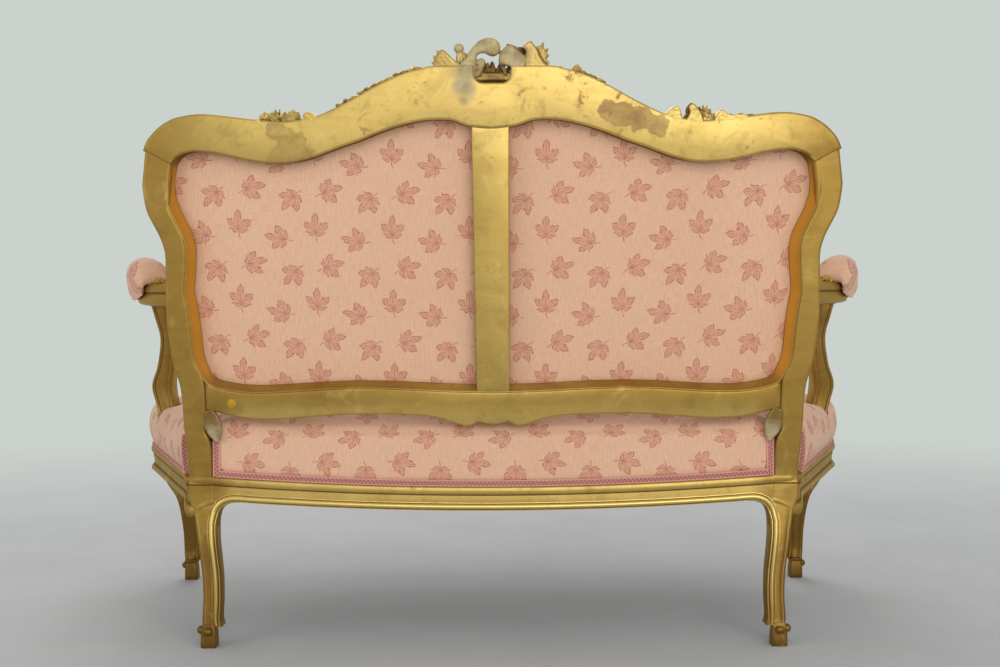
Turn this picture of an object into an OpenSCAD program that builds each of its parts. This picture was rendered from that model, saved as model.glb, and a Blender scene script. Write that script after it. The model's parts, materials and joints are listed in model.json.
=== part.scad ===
// Carved and gilded two-seat cabriole sofa with a shaped open back frame.
// The sitter faces -Y, +Z is up, and the floor is at z = 0.
// Left is the sitter's left, which is +X.

/* [Back frame] */
// Width of the back over its shoulders
back_w = 1220; // [1180:10:1270]
// Height of the back above the seat rails, along its slope
back_h = 778; // [740:2:800]
// Lean of the back, in degrees
rake = 8; // [4:1:12]
// Thickness of the back frame's boards
back_t = 46; // [42:1:52]
// Width of the centre bar
bar_w = 58; // [40:1:80]
// Thickness of the centre bar
bar_t = 22; // [14:1:26]
// Depth of the outside back fabric behind the rear face
panel_in = 32; // [28:1:33]
// Thickness of the fabric panel on its board
panel_t = 3; // [2:0.5:4]
// Width of the rebate lip that the upholstery is tacked to
lip_w = 9; // [6:1:14]
// Thickness of the rebate lip
lip_t = 6; // [4:0.5:7]

/* [Seat frame] */
// Height of the top of the seat rails
rail_top = 300; // [280:2:330]
// Height of the side and front rails
rail_h = 50; // [44:1:60]
// Thickness of the seat rails
rail_t = 36; // [30:1:40]
// Drop of the rear rail's lower edge at its middle
rail_drop = 20; // [10:1:28]
// Width over the rear legs at the seat
rear_w = 1104; // [1080:4:1120]
// Width over the front legs
front_w = 1466; // [1400:2:1500]
// Depth from the back's rear face to the front leg's front
seat_d = 536; // [500:2:560]
// Forward bow of the front rail
front_bow = 34; // [20:1:44]
// Width and depth of the front leg's top block
block_w = 62; // [56:1:70]

/* [Legs] */
// Width of a rear leg at its ankle
rear_leg_w = 33; // [28:1:38]
// Backward sweep of the rear feet behind the back
foot_sweep = 45; // [30:1:50]
// Width of a front leg at its ankle
front_leg_w = 33; // [28:1:38]
// Width of a foot
foot_w = 29; // [25:1:34]

/* [Arms] */
// Height of the underside of the arms
arm_z = 602; // [580:2:620]
// Height of the arm's wood
arm_h = 44; // [38:1:50]
// Width of the arm's wood
arm_w = 44; // [38:1:50]
// Inset of the arm's outermost run from the front legs' outer faces
arm_in = 43; // [33:2:53]
// Length of the arm pad
arm_pad_l = 210; // [180:5:240]
// Height of the arm pad over the wood
arm_pad_h = 42; // [30:1:50]
// Depth of the arm pad's skirt on its outer side
arm_pad_skirt = 36; // [24:1:38]

/* [Seat] */
// Height of the seat's side from the rails to its rounded edge
seat_side = 92; // [80:2:96]
// Rise of the seat's crown over its edge
seat_crown = 44; // [24:1:50]
// Thickness of the cover and its wadding
cover_t = 6; // [4:0.5:8]
// Number of seat springs across the width
springs_across = 6; // [5:1:7]
// Number of seat springs from front to back
springs_deep = 2; // [2:1:3]
// Outer diameter of a seat spring at its ends
spring_d = 92; // [80:2:100]
// Height of a seat spring
spring_h = 84; // [70:2:90]
// Diameter of the spring wire
wire_d = 4; // [3:0.5:5]
// Width of a webbing strap
strap_w = 50; // [40:2:60]
// Thickness of a webbing strap
strap_t = 1.5; // [1:0.5:2.5]

/* [Back upholstery] */
// Rise of the back pad's crown
pad_crown = 34; // [20:1:44]
// Height of the back pad's drawn-in edge
pad_edge = 12; // [8:1:18]

/* [Trim and fasteners] */
// Width of the braid
gimp_w = 12; // [8:1:16]
// Thickness of the braid
gimp_t = 2; // [1:0.5:3]
// Diameter of the frame's dowels
dowel_d = 10; // [8:1:12]
// Length of the frame's dowels
dowel_l = 44; // [36:2:50]
// Shank diameter of the corner block screws
screw_d = 5; // [4:0.5:6]
// Length of the corner block screws
screw_l = 42; // [36:1:48]
// Width of the moulded bead on the rails
bead = 7; // [5:0.5:9]

/* [Hidden] */
// Clearances, wall-to-wall
fit = 0.15;
soft_gap = 0.3;
overrun = 2;
// Small chamfer on the wood's edges
ease = 5;
// Smoothness of a spline, in pieces between two rows
fine = 3;
// Depth of a tenon and the stock left round it
tenon_l = 24;
rear_tenon_l = 18;
tenon_t = 12;
shoulder = 8;
// Height of the rear rail's face as a share of the other rails' height
rear_rail_share = 0.82;

half_w = back_w / 2;
half_rear = rear_w / 2;
half_front = front_w / 2;
rail_low = rail_top - rail_h;
rear_rail_h = rail_h * rear_rail_share;

// The rearmost point is the crest's top and the foremost the bow of the front rail
rear_reach = back_h * sin(rake);
front_reach = seat_d + front_bow + bead;
back_y = (front_reach - rear_reach) / 2;
arm_out = half_front - arm_in;

// Outer edge of the back from the shoulder joint to the middle, as shares of
// half the back's width and of its height
crest_top_shares = [
    [0.993, 0.752], [0.979, 0.776], [0.949, 0.801], [0.92, 0.816], [0.891, 0.825],
    [0.833, 0.832], [0.776, 0.829], [0.691, 0.821], [0.606, 0.815], [0.548, 0.819],
    [0.49, 0.829], [0.405, 0.86], [0.347, 0.885], [0.29, 0.907], [0.233, 0.924],
    [0.165, 0.935]
];
// Edge of the crest's flat seat for the cartouche
crest_flat_share = 0.935;
// Inner edge of the crest from the shoulder joint to the middle
crest_under_shares = [
    [0.92, 0.721], [0.895, 0.739], [0.865, 0.748], [0.837, 0.75], [0.78, 0.745],
    [0.723, 0.735], [0.666, 0.726], [0.608, 0.723], [0.551, 0.727], [0.493, 0.741],
    [0.435, 0.758], [0.378, 0.773], [0.32, 0.791], [0.263, 0.805], [0.206, 0.815],
    [0.171, 0.818], [0.131, 0.818], [0.109, 0.816], [0.086, 0.809], [0.057, 0.803],
    [0, 0.799]
];
// Edges of the stile: height, outer edge, inner edge
stile_shares = [
    [0.01, 0.905, 0.835], [0.05, 0.908, 0.835], [0.085, 0.911, 0.838], [0.11, 0.912, 0.852],
    [0.13, 0.914, 0.848], [0.145, 0.914, 0.846], [0.18, 0.915, 0.846], [0.215, 0.919, 0.846],
    [0.235, 0.925, 0.85], [0.266, 0.936, 0.868], [0.3, 0.942, 0.875], [0.35, 0.948, 0.879],
    [0.4, 0.95, 0.886], [0.433, 0.948, 0.892], [0.47, 0.946, 0.887], [0.511, 0.944, 0.883],
    [0.534, 0.947, 0.883], [0.561, 0.958, 0.89], [0.589, 0.975, 0.906], [0.615, 0.99, 0.921],
    [0.645, 0.997, 0.933], [0.675, 1, 0.936], [0.69, 1, 0.934]
];
// Place of the lower rail's joint with the stile
joint_share = 0.846;
// Upper and lower edges of the lower rail from just short of its joint to the middle
low_top_shares = [
    [0.8455, 0.229], [0.83, 0.22], [0.814, 0.214], [0.77, 0.206], [0.712, 0.201], [0.623, 0.202],
    [0.441, 0.21], [0.294, 0.209], [0.147, 0.203], [0, 0.2]
];
low_under_shares = [
    [0.8455, 0.158], [0.825, 0.156], [0.772, 0.145], [0.714, 0.138], [0.625, 0.136],
    [0.507, 0.143], [0.419, 0.147], [0.271, 0.146], [0.183, 0.141], [0.124, 0.129],
    [0.094, 0.12], [0.065, 0.119], [0.044, 0.129], [0.022, 0.123], [0, 0.121]
];

// Rear leg under the rail: height as a share of the rail's underside, then the inward
// shift, the width, the backward sweep and the depth as shares of their sizes
rear_leg_shares = [
    [0.984, 0.03, 1.785, 0, 1], [0.965, 0.21, 1.333, 0.01, 0.98], [0.908, 0.31, 1.24, 0.04, 0.93],
    [0.804, 0.45, 1.106, 0.12, 0.88], [0.7, 0.57, 1.076, 0.24, 0.82], [0.504, 0.877, 1.03, 0.5, 0.74],
    [0.332, 1, 1.01, 0.74, 0.7], [0.204, 0.98, 1.03, 0.9, 0.68], [0.15, 1.05, 1.05, 0.97, 0.78]
];
// Width of the rear leg beside the rail
leg_top_share = 1.334;
// Tops of the feet, as shares of the rail's underside
rear_toe_share = 0.15;
front_toe_share = 0.192;
// Front leg under its block: height, inward shift, width
front_leg_shares = [
    [0.985, 0.02, 1.78], [0.912, 0.16, 1.66], [0.828, 0.4, 1.46], [0.74, 0.66, 1.3],
    [0.624, 0.81, 1.16], [0.432, 0.93, 1.02], [0.252, 0.96, 0.97], [0.192, 1, 1.08]
];
// Inward shift of the legs at the ankle
rear_leg_in = 31;
front_leg_in = 54;
// Part of that shift that the front leg makes from front to back
front_back_share = 0.45;
// Size of the scroll on a foot
toe_r = 7;

// Arm's centre line from the back to its front scroll: outward and forward shares,
// and its rise as a share of its height
arm_shares = [
    [0.12, 0.06, 0], [0.42, 0.2, 0.02], [0.7, 0.38, 0.03], [0.88, 0.58, 0.02],
    [0.97, 0.76, 0], [1, 0.9, 0], [0.99, 1, 0]
];
// Forward reach of the arm from the back's front face
arm_reach = 330;
// Place across of the arm's joint on the stile
arm_joint_share = 0.9155;
arm_x0 = half_w * arm_joint_share;

// Arm support: height between rail and arm, outward and forward shifts, widths
support_shares = [
    [0, 0.1, 1, 1.05, 1], [0.14, 0.2, 1.02, 1.02, 1.04], [0.33, 0.72, 1.06, 1.02, 1.2],
    [0.46, 0.9, 0.98, 1.08, 1.3], [0.6, 0.42, 0.68, 0.9, 0.92], [0.78, 0, 0.3, 0.78, 0.74],
    [0.92, 0.12, 0.06, 0.88, 0.8], [1, 0.25, 0, 1, 0.86]
];
support_w = 36;
support_d = 46;
support_bow = 26;
support_run = 78;
// Distance of the support's foot from the front leg, and of its line inside the side rail's
support_gap = 104;
support_in = 1.2;

// Seat outline: inset from the frame's outer faces
seat_inset = 5;
// Rings of the seat from its foot to its rounded edge: width share, height share
edge_share = 0.94;
seat_ring_shares = [[1, 0], [1, 0.14], [1.008, 0.4], [1.006, 0.7], [0.985, 0.93], [edge_share, 1]];
// Width of the flat middle of a crown, and how much of the cover's depth thins it
crown_mid_share = 0.08;
crown_sink_share = 0.2;
crown_steps = 5;

gold = "#c9a33c";
bright_gold = "#dcc05a";
pink = "#e9a98c";
rose = "#c96f6c";
jute = "#b79a6b";
beech = "#c8a06a";
steel = "#8d8f90";

// A point of a smooth curve between b and c
function between(a, b, c, d, t) =
    0.5 * (2 * b + (c - a) * t + (2 * a - 5 * b + 4 * c - d) * t * t
        + (3 * b - a - 3 * c + d) * t * t * t);
// Rows on a smooth curve through the rows given
function smooth(rows, steps = fine) = concat(
    [for (i = [0:len(rows) - 2]) for (k = [0:steps - 1])
        between(rows[max(i - 1, 0)], rows[i], rows[i + 1], rows[min(i + 2, len(rows) - 1)], k / steps)],
    [rows[len(rows) - 1]]);
function backwards(list) = [for (i = [len(list) - 1:-1:0]) list[i]];
// Shares to sizes on the back
function on_back(rows) = [for (r = rows) [r.x * half_w, r.y * back_h]];
// The whole symmetric line from a half line that ends at the middle
function both_sides(half) = concat(half, [for (p = backwards(half)) if (p.x > 0) [-p.x, p.y]]);
// A point on the back: across, up the slope, forward from the rear face
function raked(x, v, w) = [
    x, back_y + v * sin(rake) - w * cos(rake), rail_top + v * cos(rake) + w * sin(rake)];

// Outline of the opening in the back frame, from the left joint over the crest and back
opening_from_share = 0.23;
opening_right = concat(
    [for (r = smooth([for (r = stile_shares) if (r[0] > opening_from_share) r]))
        [r[2] * half_w, r[0] * back_h]],
    on_back(smooth(crest_under_shares, 2)));
opening = concat(
    both_sides(opening_right),
    backwards(both_sides(on_back(smooth(low_top_shares, 2)))));

// An eight-cornered ring, wide by deep
function eased(w, d, c) = [
    [w / 2 - c, -d / 2], [w / 2, -d / 2 + c], [w / 2, d / 2 - c], [w / 2 - c, d / 2],
    [-w / 2 + c, d / 2], [-w / 2, d / 2 - c], [-w / 2, -d / 2 + c], [-w / 2 + c, -d / 2]];

// A closed skin over rings that run anticlockwise about the way they are laid
module skin(rings) {
    n = len(rings[0]);
    last = len(rings) - 1;
    polyhedron(
        [for (r = rings) for (p = r) p],
        concat(
            [[for (i = [0:n - 1]) i]],
            [for (j = [0:last - 1]) for (i = [0:n - 1])
                [j * n + i, (j + 1) * n + i, (j + 1) * n + (i + 1) % n]],
            [for (j = [0:last - 1]) for (i = [0:n - 1])
                [j * n + i, (j + 1) * n + (i + 1) % n, j * n + (i + 1) % n]],
            [[for (i = [n - 1:-1:0]) last * n + i]]));
}

// Stands a drawing on the back's slope, from depth w0 forward by t
module on_slope(w0, t) {
    translate([0, back_y, rail_top])
        rotate([90 - rake, 0, 0])
            translate([0, 0, w0])
                linear_extrude(t) children();
}

module both() {
    children();
    mirror([1, 0, 0]) children();
}

// A dowel along z about the origin, with the room round it
module pin(room = 0, d = dowel_d, l = dowel_l) {
    cylinder(d = d + 2 * room, h = l + 2 * room, center = true, $fn = 32);
}

// Places of the dowels

// Middle and direction of the shoulder joint
shoulder_in = [crest_under_shares[0].x * half_w, crest_under_shares[0].y * back_h];
shoulder_out = [crest_top_shares[0].x * half_w, crest_top_shares[0].y * back_h];
shoulder_angle = atan2(shoulder_out.y - shoulder_in.y, shoulder_out.x - shoulder_in.x);
dowel_pitch = 18;
small_dowel_share = 0.8;
// Heights of a rail's two dowels, and the length of a support's dowel
pin_up_shares = [0.3, 0.7];
support_pin_share = 0.7;

module shoulder_pins(room = 0) {
    middle = (shoulder_in + shoulder_out) / 2;
    translate([0, back_y, rail_top])
        rotate([90 - rake, 0, 0])
            for (side = [-1, 1])
                translate([middle.x, middle.y, back_t / 2])
                    rotate([0, 0, shoulder_angle])
                        translate([side * dowel_pitch / 2, 0, 0])
                            rotate([90, 0, 0]) pin(room, d = dowel_d * small_dowel_share);
}

// Front leg block
block_x = half_front - block_w / 2;
block_y = back_y - seat_d + block_w / 2;

// Side rail between its two end faces
side_rear = [half_rear - rail_t / 2, back_y - back_t];
side_front = [half_front - rail_t / 2 - ease, block_y + block_w / 2];
// Middle of the side rail at a given y, along its straight line
side_slope = (side_front.x - side_rear.x) / (side_front.y - side_rear.y);
function side_x(y) = side_rear.x + side_slope * (y - side_rear.y);

module side_pins(room = 0) {
    for (end = [side_rear, side_front], up = pin_up_shares)
        translate([end.x, end.y, rail_low + up * rail_h])
            rotate([90, 0, 0]) pin(room);
}

module front_pins(room = 0) {
    for (up = pin_up_shares)
        translate([block_x - block_w / 2, block_y, rail_low + up * rail_h])
            rotate([0, 90, 0]) pin(room);
}

// Arm joint on the stile's front face
arm_mid = arm_z + arm_h / 2;
arm_v = (arm_mid - rail_top - back_t * sin(rake)) / cos(rake);

module arm_pin(room = 0) {
    translate([0, back_y, rail_top])
        rotate([90 - rake, 0, 0])
            translate([arm_x0, arm_v, back_t]) pin(room);
}

module support_pins(room = 0) {
    for (s = [0, 1]) translate(support_place(s)) pin(room, l = dowel_l * support_pin_share);
}

// Crest rail
module crest_outline(inset = 0) {
    offset(delta = -inset)
        polygon(concat(
            both_sides(on_back(smooth(crest_top_shares, 2))),
            backwards(both_sides(on_back(smooth(crest_under_shares, 2))))));
}

slot_w = 64;
slot_share = 0.898;
module crest_rail() {
    color(bright_gold)
        difference() {
            union() {
                on_slope(0, back_t) crest_outline();
                // Lip in the opening, in one with the crest
                on_slope(panel_in, lip_t) intersection() {
                    offset(delta = lip_w) crest_outline();
                    union() {
                        polygon(opening);
                        crest_outline();
                    }
                    translate([-half_w, shoulder_in.y])
                        square([back_w, back_h]);
                }
            }
            // Rounded slot under the open cartouche
            on_slope(-overrun, back_t + 2 * overrun) hull() {
                translate([0, slot_share * back_h + slot_w / 4])
                    for (side = [-1, 1])
                        translate([side * slot_w / 4, 0]) circle(d = slot_w / 2, $fn = 32);
                translate([-slot_w / 2, back_h]) square([slot_w, slot_w]);
            }
            both() shoulder_pins(fit);
            bar_tenon(1, fit);
        }
}

// Cartouche: an open C-scroll, a ball on a neck, shells and leaves on the flat of the crest
carving_t = 26;
carving_in = 10;
// Places over the flat and half widths of the open scroll
scroll_rows = [
    [0.072, 0, 16], [0.058, 0.016, 13], [0.053, 0.032, 10], [0.038, 0.048, 8],
    [0.018, 0.054, 7], [0.002, 0.05, 7]
];
// Direction of a line of rows at row i
function heading(rows, i) = let (
    a = rows[max(i - 1, 0)], b = rows[min(i + 1, len(rows) - 1)],
    d = [b.x - a.x, b.y - a.y]) d / norm(d);
// A flat ribbon along rows of place, place and half width
function ribbon(rows) = concat(
    [for (i = [0:len(rows) - 1]) let (h = heading(rows, i))
        [rows[i].x - h.y * rows[i].z, rows[i].y + h.x * rows[i].z]],
    [for (i = [len(rows) - 1:-1:0]) let (h = heading(rows, i))
        [rows[i].x + h.y * rows[i].z, rows[i].y - h.x * rows[i].z]]);

flat_v = crest_flat_share * back_h;
lobe_r = 14;
lobe_place = [-1, 17];
module cartouche_scroll() {
    rows = smooth([for (r = scroll_rows) [r.x * half_w, flat_v + r.y * back_h, r.z]], 4);
    polygon(ribbon(rows));
    translate([lobe_place.x, back_h - lobe_place.y]) circle(r = lobe_r, $fn = 40);
}

// Rounds of the carving: place across, height over the flat and radius, as shares of
// half the width, the ball and the ball
ball_r = 8.5;
ball_shares = [0.094, 3.75, 1];
neck_shares = [[0.092, 2.75, 0.5], [0.085, 0, 1.4]];
shell_shares = [[0.118, 1.6, 1.15], [0.132, 1.1, 1.05], [0.146, 0.6, 0.95]];
roll_shares = [-0.053, 1.65, 2.22];
leaf_shares = [
    [[-0.088, 0, 1.1], [-0.098, 3.6, 0.65]],
    [[-0.11, 0, 1.1], [-0.124, 2.7, 0.65]],
    [[-0.132, 0, 1.1], [-0.15, 1.8, 0.65]]
];
// Low ground that joins them, from place to place, and its height
ground_shares = [[0.05, 0.15, 0.6], [-0.15, -0.05, 0.5]];
module carved_round(r) {
    translate([r.x * half_w, flat_v + r.y * ball_r]) circle(r = r.z * ball_r, $fn = 32);
}
module crest_cartouche() {
    color(gold)
        on_slope(carving_in, carving_t)
            intersection() {
                translate([-half_w, flat_v]) square([back_w, back_h]);
                union() {
                    cartouche_scroll();
                    for (r = concat([ball_shares, roll_shares], shell_shares)) carved_round(r);
                    for (pair = concat([neck_shares], leaf_shares))
                        hull() {
                            carved_round(pair[0]);
                            carved_round(pair[1]);
                        }
                    for (g = ground_shares)
                        translate([g.x * half_w, flat_v - ball_r])
                            square([(g.y - g.x) * half_w, (1 + g.z) * ball_r]);
                }
            }
}

// A trail of buds and leaves on the crest's shoulder dip
bud_r = 6.5;
// First and last place of the trail, as shares of half the width
spray_span_shares = [0.49, 0.69];
spray_buds = 5;
bud_steps = 6;
spray_t = 20;
// Height of the trail between its buds, of a bud over that, and its loss at the ends
bud_low_share = 0.8;
bud_swell_share = 1.9;
bud_fade_share = 0.5;
// Height of the crest's edge over a given place across
crest_edge = backwards(on_back(smooth(crest_top_shares, 2)));
function bud_height(s) = bud_r * (bud_low_share
    + bud_swell_share * abs(sin(180 * spray_buds * s)) * (1 - bud_fade_share * abs(2 * s - 1)));
module crest_spray() {
    span = spray_span_shares * half_w;
    steps = spray_buds * bud_steps;
    xs = [for (i = [0:steps]) span[0] + (span[1] - span[0]) * i / steps];
    on_slope(carving_in, spray_t)
        polygon(concat(
            [for (x = xs) [x, lookup(x, crest_edge)]],
            backwards([for (i = [0:steps])
                [xs[i], lookup(xs[i], crest_edge) + bud_height(i / steps)]])));
}
module crest_spray_left() {
    color(gold) crest_spray();
}
module crest_spray_right() {
    color(gold) mirror([1, 0, 0]) crest_spray();
}

// Rear leg and stile in one piece

// Ring across the stile, with the rebate lip on its inner side
function stile_ring(out, in, v_out, v_in, lip) = [for (p = [
        [out - ease, 0], [out, ease], [out, back_t - ease], [out - ease, back_t],
        [in + ease, back_t], [in, back_t - ease], [in, panel_in + lip_t],
        [in - lip, panel_in + lip_t], [in - lip, panel_in], [in, panel_in],
        [in, ease], [in + ease, 0]])
    raked(p.x, v_in + (p.x - in) * (v_out - v_in) / (out - in), p.y)];
// Height share above which the stile carries the rebate lip
lip_from_share = 0.262;
// Depths at which the leg's inner side has the corners of the stile's rebate
leg_side_shares = [0.8, 0.7, 0.5, 0.4];
leg_out = half_rear;
function leg_ring(r) = let (
    w = r[2] * rear_leg_w,
    d = r[4] * back_t,
    x1 = leg_out - r[1] * rear_leg_in,
    x0 = x1 - w,
    y1 = back_y + r[3] * foot_sweep,
    y0 = y1 - d,
    z = r[0] * rail_low)
    [for (p = concat(
        [[x1 - ease, y1], [x1, y1 - ease], [x1, y0 + ease], [x1 - ease, y0],
            [x0 + ease, y0], [x0, y0 + ease]],
        [for (k = leg_side_shares) [x0, y1 - k * d]],
        [[x0, y1 - ease], [x0 + ease, y1]])) [p.x, p.y, z]];

stile_rows = smooth(stile_shares);
function lip_at(v) = v > lip_from_share ? lip_w : fit;
rear_end = rear_leg_shares[len(rear_leg_shares) - 1];
rear_foot = [
    leg_out - rear_end[1] * rear_leg_in - rear_end[2] * rear_leg_w / 2,
    back_y + rear_end[3] * foot_sweep - rear_end[4] * back_t / 2];

module rear_leg() {
    difference() {
        union() {
            skin([for (ring = concat(
                backwards([for (r = smooth(rear_leg_shares, 2)) leg_ring(r)]),
                [for (z = [rail_low, rail_top]) leg_ring([z / rail_low, 0, leg_top_share, 0, 1])],
                [for (r = stile_rows) let (v = r[0] * back_h)
                    stile_ring(r[1] * half_w, r[2] * half_w, v, v, lip_at(r[0]))],
                [stile_ring(shoulder_out.x, shoulder_in.x, shoulder_out.y, shoulder_in.y, lip_w)]))
                backwards(ring)]);
            foot_block(rear_foot, rear_toe_share * rail_low);
        }
        shoulder_pins(fit);
        low_tenon(fit);
        side_pins(fit);
        arm_pin(fit);
        rear_tenon(fit);
    }
}

// Foot with the two balls of its scroll on the outer side
module foot_block(at, top) {
    translate([at.x - foot_w / 2, at.y - foot_w / 2, 0]) cube([foot_w, foot_w, top + overrun]);
    translate([at.x + foot_w / 2, at.y, top - toe_r]) sphere(r = toe_r, $fn = 24);
    translate([at.x, at.y + (at.y > 0 ? 1 : -1) * foot_w / 2, top - toe_r])
        sphere(r = toe_r, $fn = 24);
}
module rear_leg_left() {
    color(gold) rear_leg();
}
module rear_leg_right() {
    color(gold) mirror([1, 0, 0]) rear_leg();
}

// Lower back rail with a tenon in each stile
low_line = on_back(smooth(low_top_shares, 2));
low_edge = on_back(smooth(low_under_shares, 2));
module low_tenon(room = 0) {
    high = low_line[0].y - low_edge[0].y - 2 * shoulder;
    translate([0, back_y, rail_top])
        rotate([90 - rake, 0, 0])
            translate([
                joint_share * half_w - overrun * (room > 0 ? 1 : 0),
                low_edge[0].y + shoulder - room,
                (panel_in - tenon_t) / 2 - room])
                cube([
                    tenon_l + room + overrun * (room > 0 ? 1 : 0),
                    high + 2 * room,
                    tenon_t + 2 * room]);
}

module lower_back_rail() {
    color(gold)
        difference() {
            union() {
                on_slope(0, back_t)
                    polygon(concat(both_sides(low_line), backwards(both_sides(low_edge))));
                on_slope(panel_in, lip_t)
                    polygon(concat(
                        [for (p = both_sides(low_line)) p + [0, lip_w]],
                        backwards([for (p = both_sides(low_line)) p - [0, lip_w]])));
                both() low_tenon();
            }
            bar_tenon(-1, fit);
        }
}

// Centre bar with a tenon at each end
bar_low = low_line[len(low_line) - 1].y;
bar_high = crest_under_shares[len(crest_under_shares) - 1].y * back_h;
module bar_tenon(end, room = 0) {
    v = end > 0 ? bar_high : bar_low;
    translate([0, back_y, rail_top])
        rotate([90 - rake, 0, 0])
            translate([0, v + end * (tenon_l / 2 - overrun), bar_t / 2])
                cube([
                    bar_w - 2 * shoulder + 2 * room,
                    tenon_l + 2 * overrun + 2 * room,
                    tenon_t + 2 * room], center = true);
}

module back_centre_bar() {
    color(gold) {
        on_slope(0, bar_t)
            difference() {
                translate([-bar_w / 2, bar_low - shoulder])
                    square([bar_w, bar_high - bar_low + 2 * shoulder]);
                polygon(concat(both_sides(low_line), [[-half_w, 0], [half_w, 0]]));
                crest_outline();
            }
        for (end = [-1, 1])
            intersection() {
                bar_tenon(end);
                translate([0, back_y, rail_top])
                    rotate([90 - rake, 0, 0])
                        translate([0, (bar_low + bar_high) / 2, 0])
                            cube([
                                back_w,
                                bar_high - bar_low + 2 * tenon_l - 2 * shoulder,
                                back_w], center = true);
            }
    }
}

// Seat rails

// Rear rail: a straight inner board with a curved moulded face behind it
rear_in = leg_out - leg_top_share * rear_leg_w;
face_t = 6;
function drop_at(x) = rail_drop * (1 - pow(x / rear_in, 2));
rail_steps = 16;
rear_xs = [for (i = [-rail_steps:rail_steps]) i / rail_steps * rear_in];
rear_low = rail_top - rear_rail_h;

module rear_tenon(room = 0) {
    translate([
        rear_in - overrun * (room > 0 ? 1 : 0),
        back_y - back_t / 2 - tenon_t / 2 - room,
        rear_low + shoulder - room])
        cube([
            rear_tenon_l + room + overrun * (room > 0 ? 1 : 0),
            tenon_t + 2 * room,
            rear_rail_h - 2 * shoulder + 2 * room]);
}

module rear_band(high, low) {
    polygon(concat(
        [for (x = rear_xs) [x, rail_top - drop_at(x) - high]],
        backwards([for (x = rear_xs) [x, rail_top - drop_at(x) - low]])));
}
// Stands a drawing upright, facing backwards, from y forward by t
module upright(y, t) {
    translate([0, y, 0]) rotate([90, 0, 0]) linear_extrude(t) children();
}

module seat_rail_rear() {
    color(gold) {
        difference() {
            upright(back_y - face_t, rail_t - face_t)
                polygon(concat(
                    [[-rear_in, rail_top], [rear_in, rail_top]],
                    backwards([for (x = rear_xs) [x, rear_low - drop_at(x)]])));
            both() block_screws(fit);
        }
        upright(back_y - bead / 2, face_t - bead / 2) rear_band(0, rear_rail_h);
        upright(back_y, bead / 2) rear_band(0, bead);
        upright(back_y, bead / 2) rear_band(rear_rail_h - bead, rear_rail_h);
        both() rear_tenon();
    }
}

// Front rail: serpentine in plan and scalloped below
front_in = block_x - block_w / 2;
front_steps = 20;
front_xs = [for (i = [-front_steps:front_steps]) i / front_steps * front_in];
function bow_at(x) = front_bow * (1 + cos(180 * x / front_in)) / 2;
module front_plan(grow = 0) {
    polygon(concat(
        [for (x = front_xs) [x, front_edge_y - bow_at(x) - grow]],
        backwards([for (x = front_xs) [x, front_edge_y - bow_at(x) + rail_t]])));
}
front_scallop = 14;
front_waves = 3;
function scallop_at(x) = front_scallop * (1 + cos(180 * front_waves * x / front_in)) / 2;
module seat_rail_front() {
    color(gold)
        difference() {
            union() {
                translate([0, 0, rail_low - front_scallop])
                    linear_extrude(rail_h + front_scallop) front_plan();
                translate([0, 0, rail_top - bead]) linear_extrude(bead) front_plan(bead / 2);
            }
            // Scalloped lower edge
            translate([0, back_y + overrun, 0])
                rotate([90, 0, 0])
                    linear_extrude(2 * seat_d)
                        polygon(concat(
                            [for (x = front_xs) [x, rail_low - scallop_at(x)]],
                            [[2 * front_in, rail_low - front_scallop], [2 * front_in, 0],
                             [-2 * front_in, 0], [-2 * front_in, rail_low - front_scallop]]));
            both() front_pins(fit);
            both() block_screws(fit);
        }
}

module side_rail() {
    difference() {
        union() {
            translate([0, 0, rail_low])
                linear_extrude(rail_h)
                    polygon([
                        side_rear - [rail_t / 2, 0], side_front - [rail_t / 2, 0],
                        side_front + [rail_t / 2, 0], side_rear + [rail_t / 2, 0]]);
            for (z = [rail_low, rail_top - bead])
                translate([0, 0, z])
                    linear_extrude(bead)
                        polygon([
                            side_rear, side_front,
                            side_front + [(rail_t + bead) / 2, 0], side_rear + [(rail_t + bead) / 2, 0]]);
        }
        side_pins(fit);
        support_pins(fit);
    }
}
module seat_rail_left() {
    color(gold) side_rail();
}
module seat_rail_right() {
    color(gold) mirror([1, 0, 0]) side_rail();
}

// Front leg: a square block that sweeps down into a cabriole leg
function front_ring(r) = let (
    w = r[2] * front_leg_w,
    x = half_front - w / 2 - r[1] * front_leg_in,
    y = back_y - seat_d + w / 2 + r[1] * front_leg_in * front_back_share)
    [for (p = eased(w, w, ease)) [x + p.x, y + p.y, r[0] * rail_low]];
front_end = front_leg_shares[len(front_leg_shares) - 1];
front_foot = [
    half_front - front_end[1] * front_leg_in - front_end[2] * front_leg_w / 2,
    back_y - seat_d + front_end[2] * front_leg_w / 2 + front_end[1] * front_leg_in * front_back_share];
// Setback of the knee under its block
knee_in = 0.5;
module front_leg() {
    difference() {
        union() {
            translate([block_x, block_y, rail_low - ease])
                linear_extrude(rail_h + ease) polygon(eased(block_w, block_w, ease));
            skin(concat(
                backwards([for (r = smooth(front_leg_shares, 2)) front_ring(r)]),
                [[for (p = eased(block_w - 2 * knee_in, block_w - 2 * knee_in, ease))
                    [block_x + p.x, block_y + p.y, rail_low]]]));
            foot_block(front_foot, front_toe_share * rail_low);
        }
        side_pins(fit);
        front_pins(fit);
    }
}
module front_leg_left() {
    color(gold) front_leg();
}
module front_leg_right() {
    color(gold) mirror([1, 0, 0]) front_leg();
}

// Arms
arm_y0 = back_y + arm_v * sin(rake) - back_t * cos(rake);
arm_points = smooth([for (r = arm_shares)
    [arm_x0 + r[0] * (arm_out - arm_x0), arm_y0 - r[1] * arm_reach, arm_mid + r[2] * arm_h]]);
// Directions along and across the arm at point i
function along(i) = let (
    a = arm_points[max(i - 1, 0)], b = arm_points[min(i + 1, len(arm_points) - 1)],
    d = [b.x - a.x, b.y - a.y, 0]) d / norm(d);
function across(i) = let (t = along(i)) [-t.y, t.x, 0];
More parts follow.
